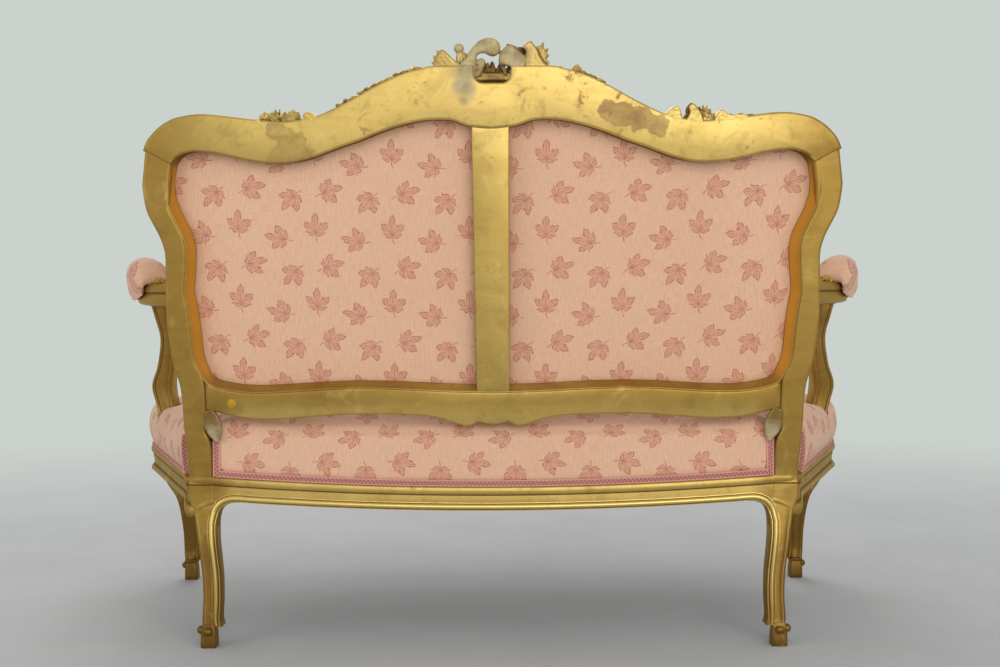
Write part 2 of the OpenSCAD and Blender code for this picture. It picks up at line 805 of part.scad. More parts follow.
// Waist of the arm at its middle, its corners, and the scroll with its eye
arm_waist_share = 0.12;
arm_ease = 8;
scroll_r = 26;
scroll_w_share = 0.9;
eye_r_share = 0.5;
eye_w_share = 1.1;
function arm_swell(i) = 1 - arm_waist_share * sin(180 * i / (len(arm_points) - 1));
function arm_ring(i) = [for (p = eased(arm_w * arm_swell(i), arm_h * arm_swell(i), arm_ease))
    arm_points[i] + p.x * across(i) + [0, 0, p.y]];
module arm() {
    tip = arm_points[len(arm_points) - 1];
    difference() {
        union() {
            skin(concat(
                [[for (p = eased(arm_w, arm_h, arm_ease)) raked(arm_x0 + p.x, arm_v + p.y, back_t)]],
                [for (i = [0:len(arm_points) - 1]) arm_ring(i)]));
            // Rolled scroll at the front end
            translate([tip.x, tip.y, tip.z + arm_h / 2 - scroll_r])
                rotate([0, 90, 0]) {
                    cylinder(r = scroll_r, h = arm_w * scroll_w_share, center = true, $fn = 40);
                    cylinder(
                        r = scroll_r * eye_r_share, h = arm_w * eye_w_share, center = true, $fn = 32);
                }
        }
        arm_pin(fit);
        support_pins(fit);
    }
}
module arm_left() {
    color(gold) arm();
}
module arm_right() {
    color(gold) mirror([1, 0, 0]) arm();
}

// Arm support from the side rail up to the arm
support_ease = 7;
support_y = side_front.y + support_gap;
support_x = side_x(support_y) - support_in;
function support_at(r) = [
    support_x + r[1] * support_bow,
    support_y + (1 - r[2]) * support_run,
    rail_top + r[0] * (arm_z - rail_top)];
function support_place(s) = support_at(support_shares[s * (len(support_shares) - 1)]);
module arm_support_body(room = 0) {
    skin([for (r = smooth(support_shares, 2))
        [for (p = eased(r[3] * support_w + 2 * room, r[4] * support_d + 2 * room, support_ease))
            support_at(r) + [p.x, p.y, 0]]]);
}
module arm_support() {
    difference() {
        arm_support_body();
        support_pins(fit);
    }
}
module arm_support_left() {
    color(gold) arm_support();
}
module arm_support_right() {
    color(gold) mirror([1, 0, 0]) arm_support();
}

// Arm pad: a crowned roll with a skirt on the outer side
pad_rings = 12;
pad_middle_share = 0.57;
skirt_share = 0.56;
pad_section_shares = [
    [-0.62, 0], [skirt_share, 0], [skirt_share, -1], [0.8, -0.98], [0.9, -0.3], [0.86, 0.4],
    [0.6, 0.82], [0.1, 1], [-0.42, 0.84], [-0.7, 0.4]
];
// Width that the pad keeps at its ends, and the fullness of its ends seen from above
pad_end_share = 0.75;
pad_least_share = 0.06;
pad_power = 6;
// A point on the arm's centre line at a reach forward of the back, and the way across it
arm_xs = [for (p = arm_points) [arm_y0 - p.y, p.x]];
arm_zs = [for (p = arm_points) [arm_y0 - p.y, p.z]];
function arm_at(f) = [lookup(f, arm_xs), arm_y0 - f, lookup(f, arm_zs)];
function arm_side(f) = let (d = arm_at(f + scroll_r) - arm_at(f - scroll_r), n = norm([d.x, d.y]))
    [-d.y / n, d.x / n, 0];
function pad_end(s) = sqrt(max(pad_least_share, 1 - pow(abs(2 * s - 1), pad_power)));
// How wide a corner of the section stands at an end of fullness k
function pad_width(p, k) = p.y == 0 || p.x == skirt_share ? 1 : pad_end_share + (1 - pad_end_share) * k;
module arm_pad() {
    skin([for (j = [0:pad_rings])
        let (
            f = pad_middle_share * arm_reach + (j / pad_rings - 0.5) * arm_pad_l,
            k = pad_end(j / pad_rings))
        [for (p = pad_section_shares)
            arm_at(f)
            + (p.x * arm_w + (p.x < skirt_share ? 0 : soft_gap)) * pad_width(p, k) * arm_side(f)
            + [0, 0, arm_h / 2 + soft_gap + p.y * (p.y > 0 ? arm_pad_h : arm_pad_skirt) * k]]]);
}
module arm_pad_left() {
    color(pink) arm_pad();
}
module arm_pad_right() {
    color(pink) mirror([1, 0, 0]) arm_pad();
}

// Back upholstery
module inside_opening(inset) {
    offset(delta = -inset) polygon(opening);
}
module outside_back_panel() {
    color(pink) on_slope(panel_in - panel_t, panel_t) inside_opening(2 * fit);
}

back_straps_up = 7;
back_straps_across = 4;
// Spread of the upright straps, and the lowest line and the spread of the level ones
straps_up_share = 0.92;
straps_low_share = 0.2;
straps_high_share = 0.56;
module back_webbing() {
    front = panel_in + lip_t;
    color(jute) {
        on_slope(front, strap_t)
            intersection() {
                inside_opening(fit);
                for (k = [1:back_straps_up])
                    let (s = (2 * k / (back_straps_up + 1) - 1) * straps_up_share)
                        translate([s * half_w - strap_w / 2, 0]) square([strap_w, back_h]);
            }
        on_slope(front + strap_t, strap_t)
            intersection() {
                inside_opening(fit);
                for (k = [1:back_straps_across])
                    let (s = straps_low_share + straps_high_share * k / (back_straps_across + 1))
                        translate([-half_w, s * back_h - strap_w / 2]) square([back_w, strap_w]);
            }
    }
}

// Crowned pad on the front of the back, drawn in at its edge
opening_mid_share = 0.48;
opening_mid = [0, back_h * opening_mid_share];
pad_foot_share = 0.985;
pad_welt_share = 0.6;
pad_flat_share = 0.1;
pad_step_power = 1.3;
pad_crown_power = 2.5;
module back_pad() {
    start = panel_in + lip_t + 2 * strap_t;
    every = [for (i = [0:2:len(opening) - 1]) opening[i]];
    foot = [for (p = every) opening_mid + (p - opening_mid) * pad_foot_share];
    rings = concat(
        [[1, 0], [1, pad_welt_share]],
        [for (k = [0:crown_steps])
            [1 - (1 - pad_flat_share) * pow(k / crown_steps, pad_step_power), 1]]);
    color(pink)
        skin([for (r = rings)
            [for (p = backwards(foot))
                let (
                    q = opening_mid + (p - opening_mid) * r[0],
                    rise = pad_crown * (1 - pow(r[0], pad_crown_power)))
                raked(q.x, q.y, start + r[1] * pad_edge + rise)]]);
}

// Seat outline, anticlockwise from the rear left
seat_steps = 12;
side_steps = 5;
side_bulge = 3;
// Width of the straight rear edge, and of the block that the front edge covers
rear_edge_share = 0.8;
block_edge_share = 0.6;
front_edge_y = back_y - seat_d + ease;
function seat_side_at(s, inset) = let (y = back_y - inset - s * (back_y - inset - side_front.y))
    [side_x(y) + rail_t / 2 - inset + side_bulge * sin(180 * s), y];
function seat_half(inset) = concat(
    [for (k = [0:side_steps]) seat_side_at(k / side_steps, inset)],
    [[half_front - inset, block_y], [half_front - inset - ease, front_edge_y + inset + ease]]);
function seat_outline(inset) = concat(
    [for (s = [0.5, 0, -0.5])
        [s * half_rear * rear_edge_share, back_y - inset - side_bulge * (1 - s * s) / 2]],
    [for (p = seat_half(inset)) [-p.x, p.y]],
    [for (k = [0:seat_steps])
        let (x = (2 * k / seat_steps - 1) * (front_in + block_w * block_edge_share))
        [x, front_edge_y + inset - (abs(x) < front_in ? bow_at(x) : 0)]],
    backwards(seat_half(inset)));
seat_mid = [0, back_y - seat_d / 2];
// Rise of a crown that starts at the rounded edge
function crown_at(s, sink) = s < edge_share
    ? (seat_crown - sink * crown_sink_share) * (1 - pow(s / edge_share, 2)) : 0;
// Rings of a seat solid with its foot and crown drawn in by a depth
function seat_rings(depth, sink) = let (outline = seat_outline(seat_inset + depth))
    [for (r = concat(seat_ring_shares,
            [for (k = [1:crown_steps])
                [edge_share - (edge_share - crown_mid_share) * k / crown_steps, 1]]))
        [for (p = outline) let (q = seat_mid + (p - seat_mid) * r[0])
            [q.x, q.y, rail_top + soft_gap + r[1] * (seat_side - sink) + crown_at(r[0], sink)]]];

// Room for the stiles and the arm supports
notch_in = min(rear_in, stile_shares[0][2] * half_w);
module seat_notches(room) {
    both() {
        translate([notch_in - room, back_y - back_t - room, rail_top - overrun])
            cube([
                max(half_w, half_rear) - notch_in + room,
                back_t + 2 * room + overrun,
                2 * seat_side]);
        arm_support_body(room);
    }
}
module seat_cover() {
    color(pink)
        difference() {
            union() {
                skin(concat(backwards(seat_rings(cover_t, cover_t)), seat_rings(0, 0)));
                // Flap down to the rear rail's curved bead
                upright(back_y - seat_inset / 2, face_t - seat_inset / 2)
                    polygon(concat(
                        [for (x = rear_xs) [x, rail_top - drop_at(x) + soft_gap]],
                        [[rear_in, rail_top + gimp_w], [-rear_in, rail_top + gimp_w]]));
            }
            seat_notches(soft_gap);
        }
}
module seat_stuffing() {
    color("#d8cdb4")
        difference() {
            skin(seat_rings(cover_t + soft_gap, cover_t + soft_gap));
            seat_notches(soft_gap + cover_t);
            // Room for the springs under the stuffing
            translate([0, 0, rail_top - overrun])
                linear_extrude(spring_top - rail_top + overrun + strap_t + 2 * soft_gap)
                    offset(delta = -rail_t - soft_gap) polygon(seat_outline(0));
        }
}

// Seat suspension
web_rise = 4;
web_z = rail_low + web_rise;
spring_low = web_z + 2 * strap_t;
spring_top = spring_low + spring_h;
well_y0 = back_y - rail_t;
well_y1 = front_edge_y + rail_t;
// Inner face of a side rail at a given y
function rail_inside(y) = side_x(y) - rail_t / 2;
well_half = [
    [rear_in, well_y0], [rear_in, side_rear.y], [rail_inside(side_rear.y), side_rear.y],
    [rail_inside(side_front.y), side_front.y], [front_in, side_front.y]];

straps_wide = 11;
straps_deep = 5;
module well(inset) {
    offset(delta = -inset)
        polygon(concat(
            well_half,
            [for (x = backwards(front_xs)) [x, front_edge_y - bow_at(x) + rail_t]],
            backwards([for (p = well_half) [-p.x, p.y]])));
}
module seat_webbing() {
    color(jute) {
        translate([0, 0, web_z])
            linear_extrude(strap_t)
                intersection() {
                    well(fit);
                    for (k = [0:straps_wide - 1])
                        let (x = ((2 * k + 1) / straps_wide - 1) * half_rear - strap_w / 2)
                            translate([x, well_y1 - front_bow])
                                square([strap_w, well_y0 - well_y1 + front_bow]);
                }
        translate([0, 0, web_z + strap_t])
            linear_extrude(strap_t)
                intersection() {
                    well(fit);
                    for (k = [0:straps_deep - 1])
                        let (y = well_y1 + (k + 0.5) / straps_deep * (well_y0 - well_y1) - strap_w / 2)
                            translate([-half_front, y]) square([front_w, strap_w]);
                }
    }
}

// Hourglass spring as one unbroken wire
spring_turns = 3.5;
spring_rings = 28;
wire_sides = 4;
waist_share = 0.35;
function spring_radius(s) = (spring_d - wire_d) / 2 * (1 - waist_share * sin(180 * s));
module spring() {
    rise = spring_h - wire_d;
    skin([for (j = [0:spring_rings]) let (
        s = j / spring_rings,
        a = 360 * spring_turns * s,
        r = spring_radius(s),
        z = wire_d / 2 + rise * s)
        [for (i = [0:wire_sides - 1]) let (b = 360 * (i + 0.5) / wire_sides)
            [(r - wire_d / 2 * cos(b)) * cos(a), (r - wire_d / 2 * cos(b)) * sin(a),
             z + wire_d / 2 * sin(b)]]]);
}
spring_pitch_x = 2 * rear_in / springs_across;
// Room at the front and rear of the springs, in pitches
spring_margin = 0.4;
spring_pitch_y = (well_y0 - well_y1) / (springs_deep + spring_margin);
module seat_springs() {
    color(steel)
        for (i = [0:springs_across - 1], j = [0:springs_deep - 1])
            translate([
                (i - (springs_across - 1) / 2) * spring_pitch_x,
                (well_y0 + well_y1) / 2 + (j - (springs_deep - 1) / 2) * spring_pitch_y,
                spring_low + soft_gap / 2])
                spring();
}

module spring_hessian() {
    color(jute)
        difference() {
            translate([0, 0, spring_top + soft_gap])
                linear_extrude(strap_t)
                    offset(delta = -rail_t - 3 * soft_gap) polygon(seat_outline(0));
            both() arm_support_body(soft_gap);
        }
}

module dust_cover() {
    color("#3a3632")
        translate([0, 0, rail_low])
            linear_extrude(strap_t) well(fit);
}

// Blocks cut to the inside corners, screwed to the rear and front rails
corner_l = 58;
corner_h = 30;
corner_z = spring_low + strap_t;
block_reach = 40;
screw_x0 = rear_in - corner_l / 2;
screw_x1 = front_in - corner_l / 2;

module block_screws(room = 0) {
    for (at = [[screw_x0, well_y0], [screw_x1, well_y1 - bow_at(screw_x1)]])
        translate([at.x, at.y, corner_z + corner_h / 2])
            rotate([90, 0, 0])
                cylinder(d = screw_d + 2 * room, h = screw_l + 2 * room, center = true, $fn = 24);
}
module corner_block_pair() {
    rear_end = side_rear.y - block_reach;
    front_end = side_front.y + block_reach;
    translate([0, 0, corner_z])
        linear_extrude(corner_h) {
            offset(delta = -fit)
                polygon([
                    [rear_in - corner_l, well_y0], [rear_in, well_y0], [rear_in, side_rear.y],
                    [rail_inside(side_rear.y), side_rear.y], [rail_inside(rear_end), rear_end]]);
            offset(delta = -fit)
                polygon(concat(
                    [[rail_inside(front_end), front_end], [rail_inside(side_front.y), side_front.y],
                        [front_in, side_front.y]],
                    [for (x = backwards(front_xs)) if (x > front_in - corner_l)
                        [x, front_edge_y - bow_at(x) + rail_t]]));
        }
}
module corner_blocks() {
    color(beech)
        both() difference() {
            corner_block_pair();
            block_screws(fit);
        }
}
module corner_block_screws() {
    color(steel) both() block_screws();
}

module shoulder_dowels() {
    color(beech) both() shoulder_pins();
}
module side_rail_dowels() {
    color(beech) both() side_pins();
}
module front_rail_dowels() {
    color(beech) both() front_pins();
}
module arm_dowels() {
    color(beech) both() arm_pin();
}
module support_dowels() {
    color(beech) both() support_pins();
}

// Braid along the lower edge of the cover
module gimp_rear() {
    color(rose) upright(back_y, gimp_t) rear_band(-gimp_w, 0);
}
module gimp_side() {
    difference() {
        translate([0, 0, rail_top])
            linear_extrude(gimp_w)
                polygon([
                    side_rear + [rail_t / 2 - gimp_t, 0], side_front + [rail_t / 2 - gimp_t, 0],
                    side_front + [rail_t / 2, 0], side_rear + [rail_t / 2, 0]]);
        arm_support_body(fit);
    }
}
module gimp_left() {
    color(rose) gimp_side();
}
module gimp_right() {
    color(rose) mirror([1, 0, 0]) gimp_side();
}
module gimp_front() {
    color(rose)
        translate([0, 0, rail_top])
            linear_extrude(gimp_w)
                polygon(concat(
                    [for (x = front_xs) [x, front_edge_y - bow_at(x)]],
                    backwards([for (x = front_xs) [x, front_edge_y - bow_at(x) + gimp_t]])));
}

// Flower at the middle of the front rail, flat on the rail's face
petals = 5;
petal_share = 1.4;
flower_share = 0.45;
flower_room = 4;
module front_rail_carving() {
    color(bright_gold)
        translate([0, front_edge_y - front_bow, rail_low + rail_h * flower_share])
            rotate([90, 0, 0])
                intersection() {
                    union() {
                        sphere(r = bud_r, $fn = 24);
                        for (k = [0:petals - 1])
                            rotate([0, 0, 360 / petals * k])
                                translate([bud_r * petal_share, 0, 0]) sphere(r = bud_r, $fn = 24);
                    }
                    cylinder(r = flower_room * bud_r, h = 2 * bud_r, $fn = 32);
                }
}

crest_rail();
crest_cartouche();
crest_spray_left();
crest_spray_right();
rear_leg_left();
rear_leg_right();
lower_back_rail();
back_centre_bar();
seat_rail_rear();
seat_rail_front();
seat_rail_left();
seat_rail_right();
front_leg_left();
front_leg_right();
arm_left();
arm_right();
arm_support_left();
arm_support_right();
arm_pad_left();
arm_pad_right();
outside_back_panel();
back_webbing();
back_pad();
seat_webbing();
seat_springs();
spring_hessian();
seat_stuffing();
seat_cover();
dust_cover();
corner_blocks();
corner_block_screws();
shoulder_dowels();
side_rail_dowels();
front_rail_dowels();
arm_dowels();
support_dowels();
gimp_rear();
gimp_left();
gimp_right();
gimp_front();
front_rail_carving();
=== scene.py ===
"""Looks of the carved and gilded cabriole sofa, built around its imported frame.
The sitter faces -Y, +X is the sitter's left and the floor is at z = 0. Lengths are in metres."""

import json
import math

import bmesh
import bpy
import numpy as np
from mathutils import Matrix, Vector, kdtree, noise

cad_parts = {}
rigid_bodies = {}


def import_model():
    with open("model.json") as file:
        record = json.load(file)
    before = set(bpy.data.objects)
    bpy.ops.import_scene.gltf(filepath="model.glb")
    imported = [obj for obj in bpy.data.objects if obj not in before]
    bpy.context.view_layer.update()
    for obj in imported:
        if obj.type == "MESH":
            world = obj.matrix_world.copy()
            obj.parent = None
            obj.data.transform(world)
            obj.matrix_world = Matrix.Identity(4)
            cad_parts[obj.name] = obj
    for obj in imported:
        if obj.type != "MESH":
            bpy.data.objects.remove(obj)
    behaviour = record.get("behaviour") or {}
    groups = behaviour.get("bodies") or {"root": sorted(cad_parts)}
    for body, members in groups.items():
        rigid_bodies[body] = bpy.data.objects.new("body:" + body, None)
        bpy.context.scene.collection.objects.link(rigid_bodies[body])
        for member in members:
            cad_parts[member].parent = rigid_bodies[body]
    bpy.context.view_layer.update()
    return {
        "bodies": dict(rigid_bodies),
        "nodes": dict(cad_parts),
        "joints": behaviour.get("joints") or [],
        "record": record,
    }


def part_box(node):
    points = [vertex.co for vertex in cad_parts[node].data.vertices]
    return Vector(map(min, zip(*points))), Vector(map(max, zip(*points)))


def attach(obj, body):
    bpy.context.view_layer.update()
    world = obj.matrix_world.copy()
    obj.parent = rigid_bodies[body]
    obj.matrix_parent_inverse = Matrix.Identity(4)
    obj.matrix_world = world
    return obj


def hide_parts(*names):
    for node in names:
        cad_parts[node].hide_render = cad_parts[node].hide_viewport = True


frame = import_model()
NODES = frame["nodes"]
BODY = "root"
MM = 0.001

# The sitter's left is at +X
SIDES = (("left", 1), ("right", -1))
# Driving sizes, as in the frame
RAKE = math.radians(8)
SIN, COS = math.sin(RAKE), math.cos(RAKE)
BACK_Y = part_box("seat_rail_rear")[1].y
RAIL_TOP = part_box("seat_rail_left")[1].z
RAIL_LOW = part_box("seat_rail_left")[0].z
BACK_T = 46 * MM
EASE = 5 * MM
PANEL_IN = 32 * MM
PANEL_T = 3 * MM
REVEAL = 11 * MM
HALF_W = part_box("crest_rail")[1].x
BAR_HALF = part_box("back_centre_bar")[1].x
BACK_H = 778 * MM
# Reach within which points count as one, and as lying in one plane
MERGE, FLAT = 0.01 * MM, 0.02 * MM
# Keeps a division by a length from failing
TINY = 1e-9


# Places


def raked(x, v, w):
    """A point of the back: across, up its slope, and forward of its rear face."""
    return Vector((x, BACK_Y + v * SIN - w * COS, RAIL_TOP + v * COS + w * SIN))


def unraked(p):
    """The place of a point on the back, as in raked."""
    dy, dz = p[1] - BACK_Y, p[2] - RAIL_TOP
    return p[0], dy * SIN + dz * COS, dz * SIN - dy * COS


def mirrored(points):
    """Points of the left side, on the right."""
    return [(-p[0], *p[1:]) for p in points]


def spline(points, step):
    """Points about step apart on a smooth curve through the points."""
    pts = np.array([tuple(p) for p in points], float)
    ends = np.vstack([2 * pts[0] - pts[1], pts, 2 * pts[-1] - pts[-2]])
    out = []
    for a, b, c, d in zip(ends, ends[1:], ends[2:], ends[3:]):
        count = max(1, round(np.linalg.norm(c - b) / step))
        for t in np.arange(count) / count:
            out.append(
                0.5 * (2 * b + (c - a) * t + (2 * a - 5 * b + 4 * c - d) * t**2
                       + (3 * b - a - 3 * c + d) * t**3))
    out.append(pts[-1])
    return np.array(out)


def corners_of(loop, limit):
    """Indices of a closed outline's corners that turn by more than limit."""
    pts = np.array(loop)
    before, after = pts - np.roll(pts, 1, 0), np.roll(pts, -1, 0) - pts
    turn = np.arctan2(before[:, 0] * after[:, 1] - before[:, 1] * after[:, 0],
                      (before * after).sum(1))
    return [i for i, t in enumerate(turn) if abs(t) > limit]


# Turn from which a point of an outline stays a sharp corner
CORNER_TURN = math.radians(28)


def smooth_loop(loop, step, limit=CORNER_TURN):
    """A closed outline resampled between its corners."""
    found = corners_of(loop, limit)
    if not found:
        return spline(list(loop) + [loop[0]], step)[:-1]
    out = []
    for a, b in zip(found, found[1:] + [found[0] + len(loop)]):
        part = [loop[i % len(loop)] for i in range(a, b + 1)]
        out.extend(spline(part, step)[:-1])
    return np.array(out)


def edge_normals(loop):
    """Directions into a closed anticlockwise outline, square to each edge."""
    pts = np.array(loop)
    edge = np.roll(pts, -1, 0) - pts
    edge /= np.linalg.norm(edge, axis=1)[:, None]
    return np.stack([-edge[:, 1], edge[:, 0]], 1)


# Sine of a turn that counts as none, and how far a mitred corner may reach, in insets
STRAIGHT, MITRE = 0.02, 2.5


def inset(loop, by, fixed=None):
    """An outline moved inwards, with mitred corners. Edges that are fixed stay on their line."""
    pts = np.array(loop)
    normal = edge_normals(pts)
    before = np.roll(normal, 1, 0)
    moves = np.full(len(pts), by) if fixed is None else np.where(fixed, 0.0, by)
    back = np.roll(moves, 1)
    cross = before[:, 0] * normal[:, 1] - before[:, 1] * normal[:, 0]
    out = pts.copy()
    for i, c in enumerate(cross):
        if abs(c) < STRAIGHT:
            out[i] += (normal[i] * moves[i] + before[i] * back[i]) / 2
            continue
        dx = (back[i] * normal[i, 1] - moves[i] * before[i, 1]) / c
        dy = (before[i, 0] * moves[i] - normal[i, 0] * back[i]) / c
        limit = min(1, MITRE * abs(by) / (math.hypot(dx, dy) + TINY))
        out[i] += (dx * limit, dy * limit)
    return out


def inward(loop, rounds=2):
    """Directions into an outline at its points, smoothed along it."""
    normal = edge_normals(loop)
    normal = normal + np.roll(normal, 1, 0)
    for _ in range(rounds):
        normal = np.roll(normal, 1, 0) + 2 * normal + np.roll(normal, -1, 0)
        normal /= np.linalg.norm(normal, axis=1)[:, None]
    return normal


def anticlockwise(loop):
    """The outline, turned round if it runs clockwise."""
    pts = np.array(loop)
    area = (pts[:, 0] * np.roll(pts[:, 1], -1) - np.roll(pts[:, 0], -1) * pts[:, 1]).sum()
    return pts if area > 0 else pts[::-1]


def merged(node):
    """A CAD node's mesh with its shared points joined."""
    bm = bmesh.new()
    bm.from_mesh(NODES[node].data)
    bmesh.ops.remove_doubles(bm, verts=bm.verts, dist=MERGE)
    return bm


def rear_loops(node, depth=0.0):
    """Outlines, as (x, v), of a node's flat face at a depth of the back, longest first."""
    bm = merged(node)
    flat = {v for v in bm.verts if abs(unraked(v.co)[2] - depth) < FLAT}
    links = {}
    for e in bm.edges:
        a, b = e.verts
        inside = sum(all(v in flat for v in f.verts) for f in e.link_faces)
        if a in flat and b in flat and inside == 1:
            links.setdefault(a, []).append(b)
            links.setdefault(b, []).append(a)
    loops, seen = [], set()
    for start in links:
        if start in seen:
            continue
        chain, here, last = [start], start, None
        seen.add(start)
        while True:
            ahead = [v for v in links[here] if v is not last and v not in seen]
            if not ahead:
                break
            last, here = here, ahead[0]
            chain.append(here)
            seen.add(here)
        loops.append(anticlockwise([unraked(v.co)[:2] for v in chain]))
    bm.free()
    return sorted(loops, key=len, reverse=True)


# Shares of the half width that tell the stile's outer edge from its inner one
OUTER_FROM, INNER_TO = 0.9, 0.935


def stile_edges():
    """Outer and inner edge of the left stile as (x, v), from the seat rail to the shoulder."""
    bm = merged("rear_leg_left")
    rows = [unraked(v.co) for v in bm.verts]
    bm.free()
    rows = sorted((r[1], r[0]) for r in rows if abs(r[2] - EASE) < FLAT and r[1] > 1 * MM)
    middle = {}
    for v, x in rows:
        middle.setdefault(round(v, 4), []).append(x)
    outer = [(max(xs), v) for v, xs in middle.items() if max(xs) > HALF_W * OUTER_FROM]
    inner = [(min(xs), v) for v, xs in middle.items() if min(xs) < HALF_W * INNER_TO]
    return outer, inner


OUTER, INNER = stile_edges()


def edge_at(rows, v):
    """How far out an edge of the stile lies at a height of the back."""
    vs = [r[1] for r in rows]
    return float(np.interp(v, vs, [r[0] for r in rows]))


def leg_levels(node, low, least):
    """Rows of height and the corners of the box round a leg's ring, from the foot upwards."""
    bm = merged(node)
    rings = {}
    for v in bm.verts:
        if low < v.co.z <= RAIL_TOP + MERGE:
            rings.setdefault(round(v.co.z, 4), []).append(v.co.copy())
    bm.free()
    rows = []
    for z in sorted(rings):
        pts = rings[z]
        if len(pts) >= least:
            xs, ys = [p.x for p in pts], [p.y for p in pts]
            rows.append((z, min(xs), max(xs), min(ys), max(ys)))
    return rows


# Height of the lowest ring that is read of a leg, and how many points a whole ring has at least
LEG_FROM, RING_LEAST = 36 * MM, 8
LEG_ROWS = {n: [r for r in leg_levels(n, LEG_FROM, RING_LEAST) if r[0] < RAIL_LOW + 1 * MM]
            for n in ("rear_leg_left", "front_leg_left")}


# Meshes


# Degrees from which an edge stays sharp
SHARP = 38


def from_bmesh(name, bm, sharp=SHARP):
    """A new object from a bmesh, which is freed. Without an angle it stays flat shaded."""
    bmesh.ops.recalc_face_normals(bm, faces=bm.faces)
    mesh = bpy.data.meshes.new(name)
    bm.to_mesh(mesh)
    bm.free()
    obj = bpy.data.objects.new(name, mesh)
    bpy.context.scene.collection.objects.link(obj)
    if sharp:
        mesh.shade_smooth()
        mesh.set_sharp_from_angle(angle=math.radians(sharp))
    return obj


def add_rings(bm, rings, closed=True, caps=True, tags=None):
    """Joins rings of points by quads. tags gives each point, of every ring or of each, its
    darkening: painted shade with grime.
    """
    layer = bm.verts.layers.float.get("dirt") or bm.verts.layers.float.new("dirt")
    rows = []
    for ring in rings:
        row = [bm.verts.new(tuple(p)) for p in ring]
        if tags is not None:
            nested = hasattr(tags[0], "__len__")
            for vert, tag in zip(row, tags[len(rows)] if nested else tags):
                vert[layer] = tag
        rows.append(row)
    n = len(rows[0])
    for low, high in zip(rows, rows[1:]):
        for i in range(n if closed else n - 1):
            j = (i + 1) % n
            bm.faces.new((low[i], low[j], high[j], high[i]))
    if caps and closed:
        bm.faces.new(rows[0][::-1])
        bm.faces.new(rows[-1])
    return rows


def ring_object(name, rings, **options):
    """A new object whose surface joins rings of points."""
    bm = bmesh.new()
    add_rings(bm, rings, **options)
    return from_bmesh(name, bm)


def edge_steps(radius, count=4):
    """Insets and depths of a quarter round, from the face to the side."""
    for k in range(count + 1):
        a = math.pi / 2 * k / count
        yield radius * (1 - math.sin(a)), radius * (1 - math.cos(a))


# Darkening across a rounded edge, from the rear face round to the front face: a painted shade line
# with grime round the boards
EDGE_SHADE_AND_GRIME = (0, 0, 0.1, 0.4, 0.7, 0.3, 0.1, 0, 0, 0)


def add_plate(bm, loop, near, far, round_near, round_far, fixed=None, place=raked):
    """A board between two depths with rounded edges, from an anticlockwise outline."""
    steps = [(i, near + d) for i, d in edge_steps(round_near)]
    steps += [(i, far - d) for i, d in reversed(list(edge_steps(round_far)))]
    rings = [[place(x, v, w) for x, v in inset(loop, i, fixed)] for i, w in steps]
    free = np.ones(len(loop)) if fixed is None else 1.0 - fixed * 1.0
    return add_rings(bm, rings, tags=[free * dirt for dirt in EDGE_SHADE_AND_GRIME])


def frames_along(path, up):
    """Tangent, side and up at each point of a path, with up kept near the one given."""
    pts = np.array([tuple(p) for p in path])
    tangent = np.gradient(pts, axis=0)
    tangent /= np.linalg.norm(tangent, axis=1)[:, None]
    ups = np.array(up, float)
    ups = np.broadcast_to(ups, pts.shape)
    side = np.cross(tangent, ups)
    side /= np.linalg.norm(side, axis=1)[:, None]
    return tangent, side, np.cross(side, tangent)


def swept(path, up, profile, scales=None):
    """Rings of a profile of (side, up) points carried along a path."""
    pts = np.array([tuple(p) for p in path])
    _, side, high = frames_along(pts, up)
    scales = np.ones(len(pts)) if scales is None else scales
    return [[p + s * a * k + h * b * k for a, b in profile]
            for p, s, h, k in zip(pts, side, high, scales)]


def circle_profile(radius, count):
    """Points of a circle."""
    return [(radius * math.cos(2 * math.pi * k / count), radius * math.sin(2 * math.pi * k / count))
            for k in range(count)]


def finish_piece(obj, slot, *replaces):
    """Puts a piece on the one body, with its slot, its material and the nodes it stands for."""
    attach(obj, BODY)
    if replaces:
        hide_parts(*replaces)
    obj.data.materials.clear()
    obj.data.materials.append(MATERIALS[slot])
    return obj


def gilded(obj, *replaces):
    """Finishes a piece in gilded wood."""
    return finish_piece(obj, "gilded_wood", *replaces)


def painted(obj, name, values):
    """Gives each point of a piece a number, which a material reads by its name."""
    layer = obj.data.attributes.new(name, "FLOAT", "POINT")
    layer.data.foreach_set("value", np.array(values, np.float32))


def modified(obj, kind, **values):
    """Adds a modifier to a piece and applies it."""
    mod = obj.modifiers.new(kind, kind)
    for key, value in values.items():
        setattr(mod, key, value)
    bpy.context.view_layer.objects.active = obj
    with bpy.context.temp_override(object=obj, active_object=obj, selected_objects=[obj]):
        bpy.ops.object.modifier_apply(modifier=mod.name)
    return obj


# Materials


